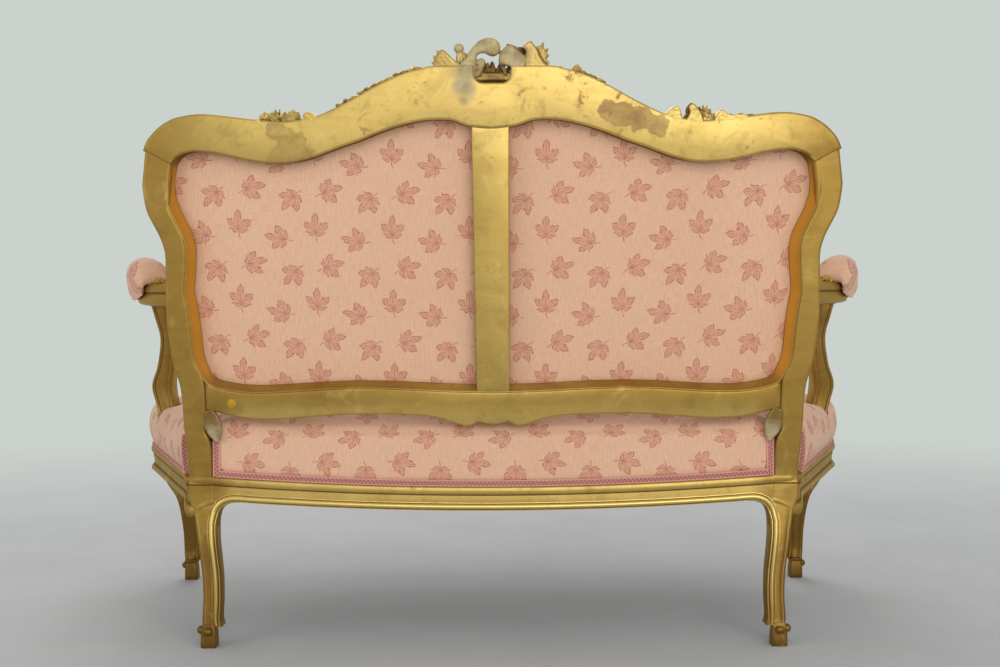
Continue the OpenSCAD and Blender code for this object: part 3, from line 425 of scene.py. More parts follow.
class Field:
    """A number in a node tree that takes part in sums."""

    def __init__(self, tree, socket):
        self.tree, self.socket = tree, socket

    def op(self, kind, other=None, third=None, swap=False):
        node = self.tree.nodes.new("ShaderNodeMath")
        node.operation = kind
        values = [self, other, third]
        if swap:
            values[:2] = [other, self]
        for slot, value in zip(node.inputs, values):
            if isinstance(value, Field):
                self.tree.links.new(value.socket, slot)
            elif value is not None:
                slot.default_value = value
        return Field(self.tree, node.outputs[0])

    def __add__(self, other):
        return self.op("ADD", other)

    def __sub__(self, other):
        return self.op("SUBTRACT", other)

    def __rsub__(self, other):
        return self.op("SUBTRACT", other, swap=True)

    def __mul__(self, other):
        return self.op("MULTIPLY", other)

    def __truediv__(self, other):
        return self.op("DIVIDE", other)

    __radd__ = __add__
    __rmul__ = __mul__

    def clamp(self):
        node = self.tree.nodes.new("ShaderNodeClamp")
        self.tree.links.new(self.socket, node.inputs[0])
        return Field(self.tree, node.outputs[0])

    def ramp(self, low, high):
        """Rises from 0 at low to 1 at high, smoothly. High may be the lower number."""
        node = self.tree.nodes.new("ShaderNodeMapRange")
        node.interpolation_type = "SMOOTHSTEP"
        self.tree.links.new(self.socket, node.inputs["Value"])
        node.inputs["From Min"].default_value = low
        node.inputs["From Max"].default_value = high
        return Field(self.tree, node.outputs[0])

    def toward(self, other, share):
        """This number where share is 0 and the other where it is 1."""
        node = self.tree.nodes.new("ShaderNodeMix")
        node.data_type = "FLOAT"
        for slot, value in zip((0, 2, 3), (share, self, other)):
            if isinstance(value, Field):
                self.tree.links.new(value.socket, node.inputs[slot])
            else:
                node.inputs[slot].default_value = value
        return Field(self.tree, node.outputs[0])


class Look:
    """A material under construction: fields in, one Principled shader out."""

    def __init__(self, name):
        self.material = bpy.data.materials.new(name)
        self.material.use_nodes = True
        self.tree = self.material.node_tree
        self.shader = self.tree.nodes["Principled BSDF"]

    def node(self, kind, **values):
        made = self.tree.nodes.new(kind)
        for key, value in values.items():
            setattr(made, key, value)
        return made

    def attribute(self, name, output="Fac"):
        made = self.node("ShaderNodeAttribute", attribute_name=name)
        return Field(self.tree, made.outputs[output])

    def place(self):
        made = self.node("ShaderNodeTexCoord")
        return made.outputs["Object"]

    def split(self, socket):
        made = self.node("ShaderNodeSeparateXYZ")
        self.tree.links.new(socket, made.inputs[0])
        return [Field(self.tree, o) for o in made.outputs]

    def stretched(self, socket, scale):
        made = self.node("ShaderNodeMapping")
        self.tree.links.new(socket, made.inputs["Vector"])
        made.inputs["Scale"].default_value = scale
        return made.outputs[0]

    def noise(self, scale, detail=4, rough=0.55, warp=0.0, at=None):
        made = self.node("ShaderNodeTexNoise")
        self.tree.links.new(at or self.place(), made.inputs["Vector"])
        for key, value in (("Scale", scale), ("Detail", detail), ("Roughness", rough),
                           ("Distortion", warp)):
            made.inputs[key].default_value = value
        return Field(self.tree, made.outputs["Fac"])

    def mix(self, share, low, high, blend="MIX"):
        """A colour that goes from low to high with share. Each is a colour or a socket."""
        made = self.node("ShaderNodeMix", data_type="RGBA", blend_type=blend)
        slots = [s for s in made.inputs if s.enabled]
        self.tree.links.new(share.socket, slots[0])
        for slot, value in zip(slots[1:], (low, high)):
            if isinstance(value, bpy.types.NodeSocket):
                self.tree.links.new(value, slot)
            else:
                slot.default_value = (*linear(value), 1)
        return [o for o in made.outputs if o.enabled][0]

    def set(self, **values):
        for key, value in values.items():
            slot = self.shader.inputs[key.replace("_", " ")]
            if isinstance(value, Field):
                self.tree.links.new(value.socket, slot)
            elif isinstance(value, bpy.types.NodeSocket):
                self.tree.links.new(value, slot)
            else:
                slot.default_value = value

    def bump(self, height, strength, distance):
        made = self.node("ShaderNodeBump")
        made.inputs["Strength"].default_value = strength
        made.inputs["Distance"].default_value = distance
        self.tree.links.new(height.socket, made.inputs["Height"])
        self.tree.links.new(made.outputs[0], self.shader.inputs["Normal"])


def linear(colour):
    """A colour of 0 to 255 per channel, as the eye reads it, in the renderer's linear light."""
    return [((c / 255 + 0.055) / 1.055) ** 2.4 if c > 10 else c / 255 / 12.92 for c in colour]


# Places on the gilding that damage has changed, as middle and radius: bare bole, a fresh dab of
# yellow, and grey where the gesso shows
BOLE_PATCHES = (
    ((0.375, 0.321, 0.914), 0.018), ((0.350, 0.317, 0.887), 0.028),
    ((0.328, 0.314, 0.870), 0.022), ((0.366, 0.314, 0.866), 0.026),
    ((-0.200, 0.325, 0.945), 0.017), ((-0.227, 0.324, 0.937), 0.022),
    ((-0.255, 0.323, 0.930), 0.023), ((-0.283, 0.321, 0.917), 0.019),
)
DABS = (((0.469, 0.2536, 0.435), 0.0075),)
GREY_PATCHES = (
    ((0.045, 0.335, 1.012), 0.020), ((0.047, 0.333, 0.985), 0.016),
    ((0.049, 0.333, 0.962), 0.009),
)


def near(look, patches, raggedness, soft=0.1):
    """1 near the patches, with a ragged edge, and 0 elsewhere."""
    found = None
    for (x, y, z), radius in patches:
        px, py, pz = look.split(look.place())
        dx, dy, dz = px - x, py - y, pz - z
        far = (dx * dx + dy * dy + dz * dz).op("SQRT") / radius + raggedness
        one = far.ramp(1 + soft, 1 - soft)
        found = one if found is None else found.op("MAXIMUM", one)
    return found


# Colours of the gilding, from 0 to 255 per channel. Among them are painted light: a highlight on
# the bead, a warm shade on the opening's sides, shade with grime in hollows, sunk lines and edges,
# and brown shade towards the feet
OLIVE, BRIGHT, BURNISHED_HIGHLIGHT = (150, 116, 52), (214, 186, 108), (236, 206, 124)
FOOT_BROWN, CREST_WARM, MOTTLED = (104, 74, 30), (214, 176, 104), (140, 108, 52)
SCRATCHED, SPECK, DAB, WARM_SHADE = (190, 152, 84), (128, 98, 52), (222, 166, 52), (206, 150, 58)
BOLE, BOLE_PINK = (150, 120, 68), (160, 120, 84)
TARNISHED, CLEAN = (124, 92, 44), (232, 206, 130)
GREY_LIGHT, GREY_DARK = (178, 164, 132), (142, 128, 102)
CARVED_DARK_BROWN, SHADE_AND_GRIME, GILT_TINT = (84, 60, 38), (86, 54, 22), (255, 226, 150)


class Gilding(Look):
    """Old water gilding: leaf over brown bole, bright on the crest and olive below, partly by wear
    and partly as painted light falling off from the top.
    """

    def __init__(self, name):
        super().__init__(name)
        self.dirt = self.attribute("dirt")
        x, _, self.z = self.split(self.place())
        self.aside = x.op("ABSOLUTE")
        self.cloud = self.noise(5, 3)
        self.mottle = self.noise(38, 5, 0.65, 0.4)
        self.scratch = self.noise(9, 4, 0.6, 0.2, self.stretched(self.place(), (1, 1, 7)))
        self.fine = self.noise(300, 3, 0.6)
        self.crest = self.z.ramp(0.80, 0.90) * self.aside.ramp(0.62, 0.40)

    def tint(self, share, colour):
        """Moves the leaf's colour so far towards another."""
        self.leaf = self.mix(share, self.leaf, colour)

    def lay_leaf(self):
        """The leaf by its place: brightest on the crest, less on the rails, brown at the feet,
        partly by wear and partly as painted light that fades towards the floor.
        """
        z, cloud = self.z, self.cloud
        middle = z.ramp(0.36, 0.5) * self.aside.ramp(0.2, 0.05)
        rails = z.ramp(0.246, 0.262) * z.ramp(0.45, 0.41) * self.aside.ramp(0.5, 0.46)
        # Brighter on the crest, the middle and the rails: partly the leaf's own wear, partly
        # painted light from above
        tone = self.crest.op("MAXIMUM", middle * 0.5).op("MAXIMUM", rails * 0.75) * 0.72 + 0.1
        bright = (tone + (cloud - 0.5) * 0.35 + (self.scratch - 0.5) * 0.3).clamp()
        self.leaf = self.mix(bright, OLIVE, BRIGHT)
        # Browner towards the feet: partly worn leaf, partly painted shade low down
        self.tint(z.ramp(0.25, 0.16) * 0.85, FOOT_BROWN)
        self.tint(self.crest * (cloud - 0.45).ramp(0, 0.2) * 0.3, CREST_WARM)
        self.tint((self.mottle - 0.5).ramp(0.02, 0.2) * 0.3, MOTTLED)

    def wear(self):
        """Bare bole, scratches, specks, the dab and the tarnish. Returns where the bole is bare."""
        mottle, cloud, scratch = self.mottle, self.cloud, self.scratch
        ragged = (mottle - 0.5) * 2.4
        bole = near(self, BOLE_PATCHES, ragged)
        bole = bole.op("MAXIMUM", (mottle * 0.7 + cloud * 0.5).ramp(0.74, 0.82))
        self.tint(self.crest * scratch.ramp(0.52, 0.68) * 0.4, SCRATCHED)
        self.tint(self.noise(85, 3, 0.7, 0.5).ramp(0.66, 0.72) * self.crest * 0.7, SPECK)
        under = self.mix(cloud.ramp(0.4, 0.6), BOLE, BOLE_PINK)
        self.tint(bole * (0.15 + scratch * 0.9 + (mottle - 0.5) * 1.6).clamp(), under)
        self.tint(near(self, DABS, (self.fine - 0.5) * 0.5), DAB)
        tarnish = self.noise(15, 6, 0.7, 0.6)
        self.tint(tarnish.ramp(0.5, 0.66) * 0.3, TARNISHED)
        self.tint(tarnish.ramp(0.46, 0.3) * 0.22, CLEAN)
        return bole

    def stain(self):
        """The tones that the pieces carry, a warm painted shade and a painted highlight among them.
        Returns how grey they are and how highlighted.
        """
        grey = near(self, GREY_PATCHES, (self.mottle - 0.5) * 2.6, 0.7)
        grey = grey.op("MAXIMUM", self.attribute("grey"))
        self.tint(grey * 0.85, self.mix(self.mottle.ramp(0.4, 0.62), GREY_LIGHT, GREY_DARK))
        # Dark brown where a carved piece marks it; at the scoops under the lower rail it is painted
        # shade
        self.tint(self.attribute("dark") * 0.85, CARVED_DARK_BROWN)
        # A warm orange painted shade on the opening's side walls
        self.tint(self.attribute("warm"), WARM_SHADE)
        # A painted highlight with the burnish, brighter on the bead's raised parts
        shine = self.attribute("shine")
        self.tint(shine * 0.75, BURNISHED_HIGHLIGHT)
        return grey, shine


def gilding(name):
    """The gilding with its wear, and with painted shade and grime in the hollows, sunk lines and
    edges that the pieces mark.
    """
    look = Gilding(name)
    look.lay_leaf()
    bole = look.wear()
    grey, shine = look.stain()
    mottle, fine = look.mottle, look.fine
    # Painted shade with grime: darker brown where a piece marks hollows, sunk lines, rounded edges
    # or the underside of the crest
    shade = (look.dirt + (fine - 0.5) * 0.4).clamp().ramp(0.15, 0.95)
    look.tint(shade * 0.85, SHADE_AND_GRIME)
    dull = grey.op("MAXIMUM", bole)
    metal = (0.6 - dull * 0.45 - shade * 0.35).clamp()
    rough = (0.38 + (mottle - 0.5) * 0.3 + shade * 0.3 + dull * 0.2 - shine * 0.14).clamp()
    look.set(Base_Color=look.leaf, Metallic=metal, Roughness=rough)
    look.shader.inputs["Specular Tint"].default_value = (*linear(GILT_TINT), 1)
    look.shader.inputs["Specular IOR Level"].default_value = 0.45
    look.bump(mottle * 0.5 + fine * 0.18 + look.scratch * 0.4 - bole * 0.35, 0.35, 0.6 * MM)
    return look.material


# Leaves of the damask: place across and up in one repeat, angle of the leaf, and its hand
REPEAT_U, REPEAT_V = 136.4 * MM, 133 * MM
LEAVES = (
    (0, 0, 81, 1),
    (68.2 * MM, -21.4 * MM, 160, 1),
    (-43 * MM, 45 * MM, 237, -1),
    (25.6 * MM, 62.9 * MM, 9, 1),
)
# Lobes of a leaf: angle, length, half width, and how many points its edge has
LOBES = ((8, 32 * MM, 9.4 * MM, 2), (60, 25 * MM, 8.8 * MM, 2), (-46, 26 * MM, 9 * MM, 2),
         (108, 14 * MM, 6.2 * MM, 1), (-97, 15 * MM, 6.4 * MM, 1))
LEAF_BASE = 8 * MM
STEM_L = 18 * MM


def nearest_leaf(u, v):
    """Place in the nearest leaf's own directions, its tip along the first."""
    best = None
    for across, up, angle, hand in LEAVES:
        du = (u - across + REPEAT_U * 0.5).op("FLOORED_MODULO", REPEAT_U) - REPEAT_U * 0.5
        dv = (v - up + REPEAT_V * 0.5).op("FLOORED_MODULO", REPEAT_V) - REPEAT_V * 0.5
        far = du * du + dv * dv
        c, s = math.cos(math.radians(angle)), math.sin(math.radians(angle))
        along, aside = du * c + dv * s, (dv * c - du * s) * hand
        if best is None:
            best = (far, along, aside)
        else:
            nearer = far.op("LESS_THAN", best[0])
            best = tuple(b.toward(a, nearer) for a, b in zip((far, along, aside), best))
    return best[1], best[2]


def leaf_marks(along, aside):
    """Fill and line of one leaf: five ragged pointed lobes with veins, and a curved stem."""
    x, y = along + LEAF_BASE, aside
    border, veins = None, None
    for angle, length, half, points in LOBES:
        c, s = math.cos(math.radians(angle)), math.sin(math.radians(angle))
        raw = (x * c + y * s) / length
        reach = raw.clamp()
        bend = (reach * reach - reach) * (5 * MM if angle >= 0 else -5 * MM)
        off = ((y * c - x * s) + bend).op("ABSOLUTE")
        teeth = (reach * points).op("FRACT") * 0.75 + 0.5
        width = (reach.op("POWER", 0.75) * math.pi).op("SINE") * teeth * half
        beyond = off - width + (raw - reach).op("ABSOLUTE") * length
        rib = (reach * points * 12.5 - off * 700).op("SINE").ramp(0.55, 1)
        rib = rib * beyond.ramp(0, -1 * MM) * 0.6
        vein = off.ramp(1.0 * MM, 0.3 * MM) * reach.ramp(0.0, 0.06) * reach.ramp(0.9, 0.75)
        mark = vein.op("MAXIMUM", rib)
        border = beyond if border is None else border.op("MINIMUM", beyond)
        veins = mark if veins is None else veins.op("MAXIMUM", mark)
    fill = border.ramp(0.4 * MM, -0.4 * MM)
    edge = border.op("ABSOLUTE").ramp(1.9 * MM, 0.3 * MM)
    curve = (y + x * x * 18).op("ABSOLUTE")
    stem = curve.ramp(1.3 * MM, 0.5 * MM) * x.ramp(1 * MM, 0) * x.ramp(-STEM_L - 1 * MM, -STEM_L)
    return fill, edge.op("MAXIMUM", veins * fill * 0.8).op("MAXIMUM", stem)


# Colours of the damask and of the painted shade along its edges and beside the centre bar
GROUND, GROUND_DEEP, STREAK = (226, 181, 152), (217, 171, 136), (202, 157, 124)
FABRIC_SHADE, LEAF_FILL, LEAF_LINE = (176, 128, 84), (204, 134, 112), (170, 94, 74)


def damask(name):
    """Pink damask with scattered leaves, woven with visible threads, with painted shade along its
    edges and beside the bar.
    """
    look = Look(name)
    cloth = look.attribute("cloth", "Vector").socket
    u, v, _ = look.split(cloth)
    wobble = look.noise(120, 2, 0.5, at=cloth)
    u, v = u + (wobble - 0.5) * 5.5 * MM, v + (look.noise(95, 2, 0.5, at=cloth) - 0.5) * 5.5 * MM
    along, aside = nearest_leaf(u, v)
    fill, line = leaf_marks(along, aside)
    weft = look.noise(420, 2, 0.5, at=look.stretched(cloth, (0.12, 1, 1)))
    warp = look.noise(420, 2, 0.5, at=look.stretched(cloth, (1, 0.12, 1)))
    thread = look.noise(1500, 1, 0.5, at=cloth)
    cloud = look.noise(6, 3)
    soil = look.attribute("soil")
    ground = look.mix((cloud - 0.3).clamp(), GROUND, GROUND_DEEP)
    streaks = (warp * 0.65 + weft * 0.35).ramp(0.62, 0.36)
    ground = look.mix(streaks * 0.45, ground, STREAK)
    # Painted shade, browner where the frame and the centre bar shade the outside back
    ground = look.mix((soil + (cloud - 0.5) * 0.5 * soil) * 0.7, ground, FABRIC_SHADE)
    colour = look.mix(fill * (0.42 + (warp - 0.5) * 0.8), ground, LEAF_FILL)
    colour = look.mix(line * (0.7 + (weft - 0.5) * 1.6).clamp(), colour, LEAF_LINE)
    look.set(Base_Color=colour, Roughness=0.8)
    look.shader.inputs["Sheen Weight"].default_value = 0.18
    look.shader.inputs["Sheen Roughness"].default_value = 0.45
    look.shader.inputs["Specular IOR Level"].default_value = 0.25
    look.bump(weft * 0.3 + warp * 0.4 + thread * 0.3 + fill * 0.3 - line * 0.3, 0.3, 0.35 * MM)
    return look.material


def woven(name, dark, light, scale):
    """A plain cloth or webbing with its threads."""
    look = Look(name)
    at = look.place()
    thread = look.noise(scale, 2, 0.5, at=look.stretched(at, (1, 0.2, 1)))
    cross = look.noise(scale, 2, 0.5, at=look.stretched(at, (0.2, 1, 0.2)))
    look.set(Base_Color=look.mix((thread + cross - 0.5).clamp(), dark, light), Roughness=0.85)
    look.bump(thread + cross, 0.5, 0.5 * MM)
    return look.material


def braid_cloth(name):
    """Pink braid whose second thread is red."""
    look = Look(name)
    high = look.attribute("dirt")
    fine = look.noise(700, 2)
    colour = look.mix((high + (fine - 0.5) * 0.3).clamp(), (214, 152, 138), (152, 74, 72))
    look.set(Base_Color=colour, Roughness=0.8)
    look.shader.inputs["Sheen Weight"].default_value = 0.2
    look.bump(fine, 0.4, 0.3 * MM)
    return look.material


def bare_wood(name):
    """Plain beech."""
    look = Look(name)
    grain = look.noise(60, 5, 0.6, 0.5, look.stretched(look.place(), (0.15, 1, 1)))
    look.set(Base_Color=look.mix(grain.ramp(0.35, 0.65), (176, 134, 88), (208, 170, 122)),
             Roughness=(0.5 + grain * 0.3).clamp())
    look.bump(grain, 0.3, 0.4 * MM)
    return look.material


def drawn_steel(name):
    """Bright drawn wire."""
    look = Look(name)
    streak = look.noise(120, 3, 0.6)
    look.set(Base_Color=look.mix(streak, (96, 94, 90), (168, 168, 166)),
             Roughness=(0.3 + streak * 0.3).clamp())
    look.shader.inputs["Metallic"].default_value = 1
    look.bump(streak, 0.2, 0.2 * MM)
    return look.material


MATERIALS = {
    "gilded_wood": gilding("gilded_wood"),
    "carved_gilding": gilding("carved_gilding"),
    "leaf_fabric": damask("leaf_fabric"),
    "braid": braid_cloth("braid"),
}
JUTE = woven("jute", (120, 92, 56), (186, 150, 98), 500)
BLACK_CLOTH = woven("dust_cloth", (30, 29, 28), (66, 62, 58), 700)
BEECH = bare_wood("beech")
STEEL = drawn_steel("steel")


# Wood of the back


# Ends of the joint between the stile and the crest, in half widths and in lengths of the back
SHOULDER_OUT = (0.993 * HALF_W, 0.752 * BACK_H)
SHOULDER_IN = (0.92 * HALF_W, 0.721 * BACK_H)
# Reach of a post's corner, radius of its bead and depth of the grooves beside it
CORNER_GAP, CORNER_BEAD, GROOVE = 8.5 * MM, 3.4 * MM, 1.6 * MM


def corner(radius, beaded):
    """Nine points of a corner: along one side, round it, and back along the other."""
    half_way = (CORNER_GAP + radius) / 2
    plain = [(CORNER_GAP, 0), (half_way, 0), *edge_steps(radius), (0, half_way), (0, CORNER_GAP)]
    b, foot = CORNER_BEAD, 2 * CORNER_BEAD + 0.3 * MM
    wide = [math.radians(-35 + 160 * k / 4) for k in range(5)]
    full = [(CORNER_GAP, 0), (foot, GROOVE)]
    full += [(b * (1 - math.sin(a)), b * (1 - math.cos(a))) for a in wide]
    full += [(GROOVE, foot), (0, CORNER_GAP)]
    return [(p[0] + (f[0] - p[0]) * beaded, p[1] + (f[1] - p[1]) * beaded)
            for p, f in zip(plain, full)]


def section(out, inn, depth, radius, beaded=(0, 0, 0, 0), slant=0.0, bulge=0.0):
    """A post's section as (x, w) and its darkening, painted shade with grime in the grooves by its
    beads: rear outer, rear inner, front inner, front outer.
    The inner wall leans inwards by slant as it goes forward, and the four faces bulge."""
    turn = 1 if out > inn else -1
    corners = [(out, 0, -turn, 1), (inn, 0, turn, 1),
               (inn, depth, turn, -1), (out, depth, -turn, -1)]
    places, dirt = [], []
    for k, ((x, w, dx, dw), full) in enumerate(zip(corners, beaded)):
        local = corner(radius, full)
        if k % 2 == 0:
            local = [(b, a) for a, b in local]
        places.append([[x + dx * a, w + dw * b] for a, b in local])
        dirt += [0, full, 0, 0, 0, 0, 0, full, 0, 0, 0]
    points = []
    outward = ((0, -1), (-turn, 0), (0, 1), (turn, 0))
    for here, after, way in zip(places, places[1:] + places[:1], outward):
        a, b, push = np.array(here[-1]), np.array(after[0]), np.array(way) * bulge
        points += here
        points += [list(a + (b - a) * t + push * (1 - abs(2 * t - 1))) for t in (0.33, 0.67)]
    for p in points:
        if abs(p[0] - inn) < CORNER_GAP + abs(slant):
            p[0] -= turn * slant * min(1, p[1] / PANEL_IN)
    return points, dirt


# Height of the lower rail's foot, depth of the scoop under it, and the height over it in which
# the stile's wall comes to stand square
LOW_RAIL_V, SCOOP, REVEAL_RUN = 109 * MM, 22 * MM, 60 * MM


def reveal_at(v):
    """How far the stile's inner wall leans in: it ends in a scoop under the lower rail."""
    over = v - LOW_RAIL_V
    if over > 0:
        return REVEAL * max(0, 1 - over / REVEAL_RUN)
    if over > -SCOOP:
        return REVEAL * math.sqrt(max(0, 1 - (over / SCOOP) ** 2))
    return 0


# The block over the rear leg: height in mm, inner and outer x, and 1 where a line is sunk and
# painted dark as shade
POST_TOP = ((247, 0.5016, 0.5480, 0), (256, 0.5016, 0.5505, 0), (258, 0.5080, 0.5515, 0),
            (284.0, 0.5080, 0.5520, 0), (285.0, 0.5094, 0.5506, 1), (286.0, 0.5094, 0.5506, 1),
            (287.0, 0.5080, 0.5520, 0))
# Height at which the rear leg ends under that block, depth of the sunk line, and rounding of the
# edges of the stile and the boards
LEG_END, LINE_SUNK, BOARD_EDGE = 241.5 * MM, 1.4 * MM, 4.5 * MM


def leg_rows():
    """Rows of the rear leg and the block over it: height, box across, box in depth, and dark."""
    low = [r for r in LEG_ROWS["rear_leg_left"] if r[0] < LEG_END]
    rows = [(*r, 0) for r in spline(low, 6 * MM)]
    for z, low, high, dark in POST_TOP:
        sunk = LINE_SUNK * dark
        rows.append((z * MM, low, high, BACK_Y - BACK_T + sunk, BACK_Y - sunk, dark))
    return rows


def stile_rings(sign):
    """Rings of the stile, from the seat rail up to its slanted joint with the crest."""
    rings = []
    heights = np.concatenate([[-8 * MM, 4 * MM], np.arange(10, 528, 6) * MM])
    for v in heights:
        at = max(v, 4 * MM)
        ring, _ = section(edge_at(OUTER, at), edge_at(INNER, at), BACK_T, BOARD_EDGE,
                          slant=reveal_at(v))
        rings.append([raked(sign * x, v, w) for x, w in ring])
    v0 = heights[-1]
    for t in (0.25, 0.5, 0.75, 1.0):
        o = Vector((edge_at(OUTER, v0), v0)).lerp(Vector(SHOULDER_OUT), t)
        i = Vector((edge_at(INNER, v0), v0)).lerp(Vector(SHOULDER_IN), t)
        ring, _ = section(o.x, i.x, BACK_T, BOARD_EDGE)
        rings.append([raked(sign * x, i.y + (x - i.x) * (o.y - i.y) / (o.x - i.x), w)
                      for x, w in ring])
    return rings


def rear_post(side, sign):
    """The stile and the rear leg under it, in one piece."""
    rings, tags = [], []
    for z, x0, x1, y0, y1, dark in leg_rows():
        rounding = np.interp(z, (0.242, 0.256), (5.5, 1.2)) * MM
        beads = (0.5 * (z < 0.24), 0, 0.4, 0.4)
        ring, dirt = section(x1, x0, y1 - y0, rounding, beads, bulge=0.4 * MM)
        rings.append([(sign * x, y1 - w, z) for x, w in ring])
        # The sunk line round the block is painted dark all round, as shade
        tags.append([1.0] * len(dirt) if dark else dirt)
    rings += stile_rings(sign)
    tags += [[0.0] * len(rings[0])] * (len(rings) - len(tags))
    return gilded(ring_object(f"stile_and_leg_{side}", rings, tags=tags), f"rear_leg_{side}")


# Step along the outlines of the boards and of the opening, and reach of a joint's line
BOARD_STEP, JOINT_REACH = 6 * MM, 0.6 * MM


def board(name, node, depth, near, far, joints=()):
    """A flat board of the back, from a CAD node's rear outline, with rounded edges.
    Edges that lie on a joint's line, given by two points, stay square."""
    loop = smooth_loop(rear_loops(node)[0], BOARD_STEP)
    middles = (loop + np.roll(loop, -1, 0)) / 2
    fixed = np.zeros(len(loop), bool)
    for a, b in joints:
        a, b = np.array(a), np.array(b)
        along = (b - a) / np.linalg.norm(b - a)
        off = np.abs((middles[:, 0] - a[0]) * along[1] - (middles[:, 1] - a[1]) * along[0])
        reach = (middles - a) @ along
        fixed |= (off < JOINT_REACH) & (reach > 0) & (reach < np.linalg.norm(b - a))
    bm = bmesh.new()
    add_plate(bm, loop, 0, depth, near, far, fixed)
    return gilded(from_bmesh(name, bm), node)


# How much wider the centre bar is at its top, on the left
BAR_FLARE = 7 * MM


def centre_bar():
    """The bar, a little wider at its top than at its foot."""
    bar = board("centre_bar", "back_centre_bar", 22 * MM, 2 * MM, 2 * MM)
    low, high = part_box("back_centre_bar")
    for vert in bar.data.vertices:
        if vert.co.x > 0:
            vert.co.x += BAR_FLARE * (vert.co.z - low.z) / (high.z - low.z)


def opening_outline(step=BOARD_STEP):
    """The opening in the back frame, anticlockwise, from the panel that fills it."""
    return smooth_loop(rear_loops("outside_back_panel", PANEL_IN - PANEL_T)[0], step)


# How far the opening's wall leans in at its foot and under the crest
BOTTOM_SLANT, TOP_SLANT = 7 * MM, 0.6 * MM


def opening_slants(loop):
    """How far the wall leans in at each point of the opening: most at the sides, least above."""
    normal = inward(loop, 6)
    up, down = np.maximum(normal[:, 1], 0), np.maximum(-normal[:, 1], 0)
    return REVEAL * normal[:, 0] ** 2 + BOTTOM_SLANT * up**2 + TOP_SLANT * down**2, normal


# The opening's wall in section: how far in besides its slant, share of the slant, depth and
# darkening, painted shade with grime
OPENING_PROFILE = ((-2 * MM, 0, 9 * MM, 0), (0, 0, 2.5 * MM, 0), (0.2 * MM, 0.1, 4 * MM, 0.4),
                   (0, 0.85, PANEL_IN - 7 * MM, 0), (0, 1, PANEL_IN - 5 * MM, 0.3),
                   (0.6 * MM, 1, PANEL_IN - 3.3 * MM, 1), (-2 * MM, 0, PANEL_IN - 3.3 * MM, 0))


def opening_moulding():
    """The slanted wall that runs round the opening, down to the fabric. Its top under the crest
    carries a painted shade, and its sides a warm painted shade.
    """
    loop = opening_outline()
    slants, normal = opening_slants(loop)
    sideways = np.clip((np.abs(normal[:, 0]) - 0.55) / 0.35, 0, 1)
    sideways = sideways * np.clip((0.585 - loop[:, 1]) / 0.03, 0, 1)
    under = np.maximum(-normal[:, 1], 0)
    bm = bmesh.new()
    tag, warm = bm.verts.layers.float.new("dirt"), bm.verts.layers.float.new("warm")
    rings = [[raked(*(p + n * (fixed + share * k)), w) for p, n, k in zip(loop, normal, slants)]
             for fixed, share, w, _ in OPENING_PROFILE]
    rows = add_rings(bm, rings + [rings[0]], caps=False)
    for row, (_, _, _, dirt) in zip(rows, OPENING_PROFILE):
        for vert, side, low in zip(row, sideways, under):
            # Painted shade on the wall's underside below the crest, and a warm painted shade on its
            # side walls
            vert[tag] = max(dirt, 0.9 * low)
            vert[warm] = side
    bmesh.ops.remove_doubles(bm, verts=rows[0] + rows[-1], dist=1e-6)
    return gilded(from_bmesh("opening_moulding", bm))


def opening_bead():
    """The fine bead along the opening's rear edge, thinnest under the crest."""
    loop = opening_outline()
    _, normal = opening_slants(loop)
    shown = np.clip(np.abs(normal[:, 0]) + normal[:, 1], 0.25, 1)
    path = [raked(*(p - n * 0.6 * MM), 0.9 * MM) for p, n in zip(loop, normal)]
    ups = [raked(*(p + n), 0) - raked(*p, 0) for p, n in zip(loop, normal)]
    rings = swept(path + path[:1], np.array([*ups, ups[0]]), circle_profile(1.3 * MM, 8),
                  [*shown, shown[0]])
    return gilded(ring_object("opening_bead", rings, caps=False))


# Rails of the seat


# Half the length of the rear rail between the legs, and its drop in the middle
REAR_IN, DROP = 507.98 * MM, 20 * MM


def drop_at(x):
    """How far the rear rail's mouldings drop at a place across."""
    return DROP * (1 - (x / REAR_IN) ** 2)


# Rear rail from its top downwards: depth forward of the rear face, height below, and darkening,
# painted shade with grime in its sunk lines
REAR_PROFILE = [(34, 0, 0), (2, 0, 0), (0.4, 0.8, 0), (-0.8, 3, 0), (-0.9, 8, 0), (-0.3, 12.4, 0),
                (0.6, 13.6, 0.2), (2, 14.4, 1), (2, 15.4, 1), (0.4, 16.4, 0.2), (0.3, 22, 0),
                (0.4, 28, 0.1), (0.4, 43, 0.4), (34, 43, 0)]


def rear_rail():
    """The rear rail: its top is level and its mouldings drop towards the middle."""
    rings = []
    for x in np.linspace(-REAR_IN, REAR_IN, 90):
        drops = [0] + [drop_at(x)] * (len(REAR_PROFILE) - 1)
        rings.append([(x, BACK_Y - w * MM, RAIL_TOP - drop - h * MM)
                      for (w, h, _), drop in zip(REAR_PROFILE, drops)])
    tags = [p[2] for p in REAR_PROFILE]
    return gilded(ring_object("rear_rail", rings, tags=tags), "seat_rail_rear")


# Inner line of the bracket between the rear rail and the leg, from the leg up to the rail, and
# its other corners, inside the rail and the leg
BRACKET = [(0.5014, 0.2080), (0.5005, 0.2220), (0.4965, 0.2365), (0.4880, 0.2465),
           (0.4755, 0.2520), (0.4600, 0.2528)]
BRACKET_BACK = [(0.46, 0.262), (0.514, 0.262), (0.514, 0.208)]


def bracket(side, sign):
    """The curved wood that fills the corner under the rear rail."""
    loop = [tuple(p) for p in spline(BRACKET, 4 * MM)] + BRACKET_BACK
    bm = bmesh.new()
    add_plate(bm, anticlockwise(loop), 0.7 * MM, 34 * MM, 2 * MM, 3 * MM,
              place=lambda x, z, w: (sign * x, BACK_Y - w, z))
    return gilded(from_bmesh(f"bracket_{side}", bm))


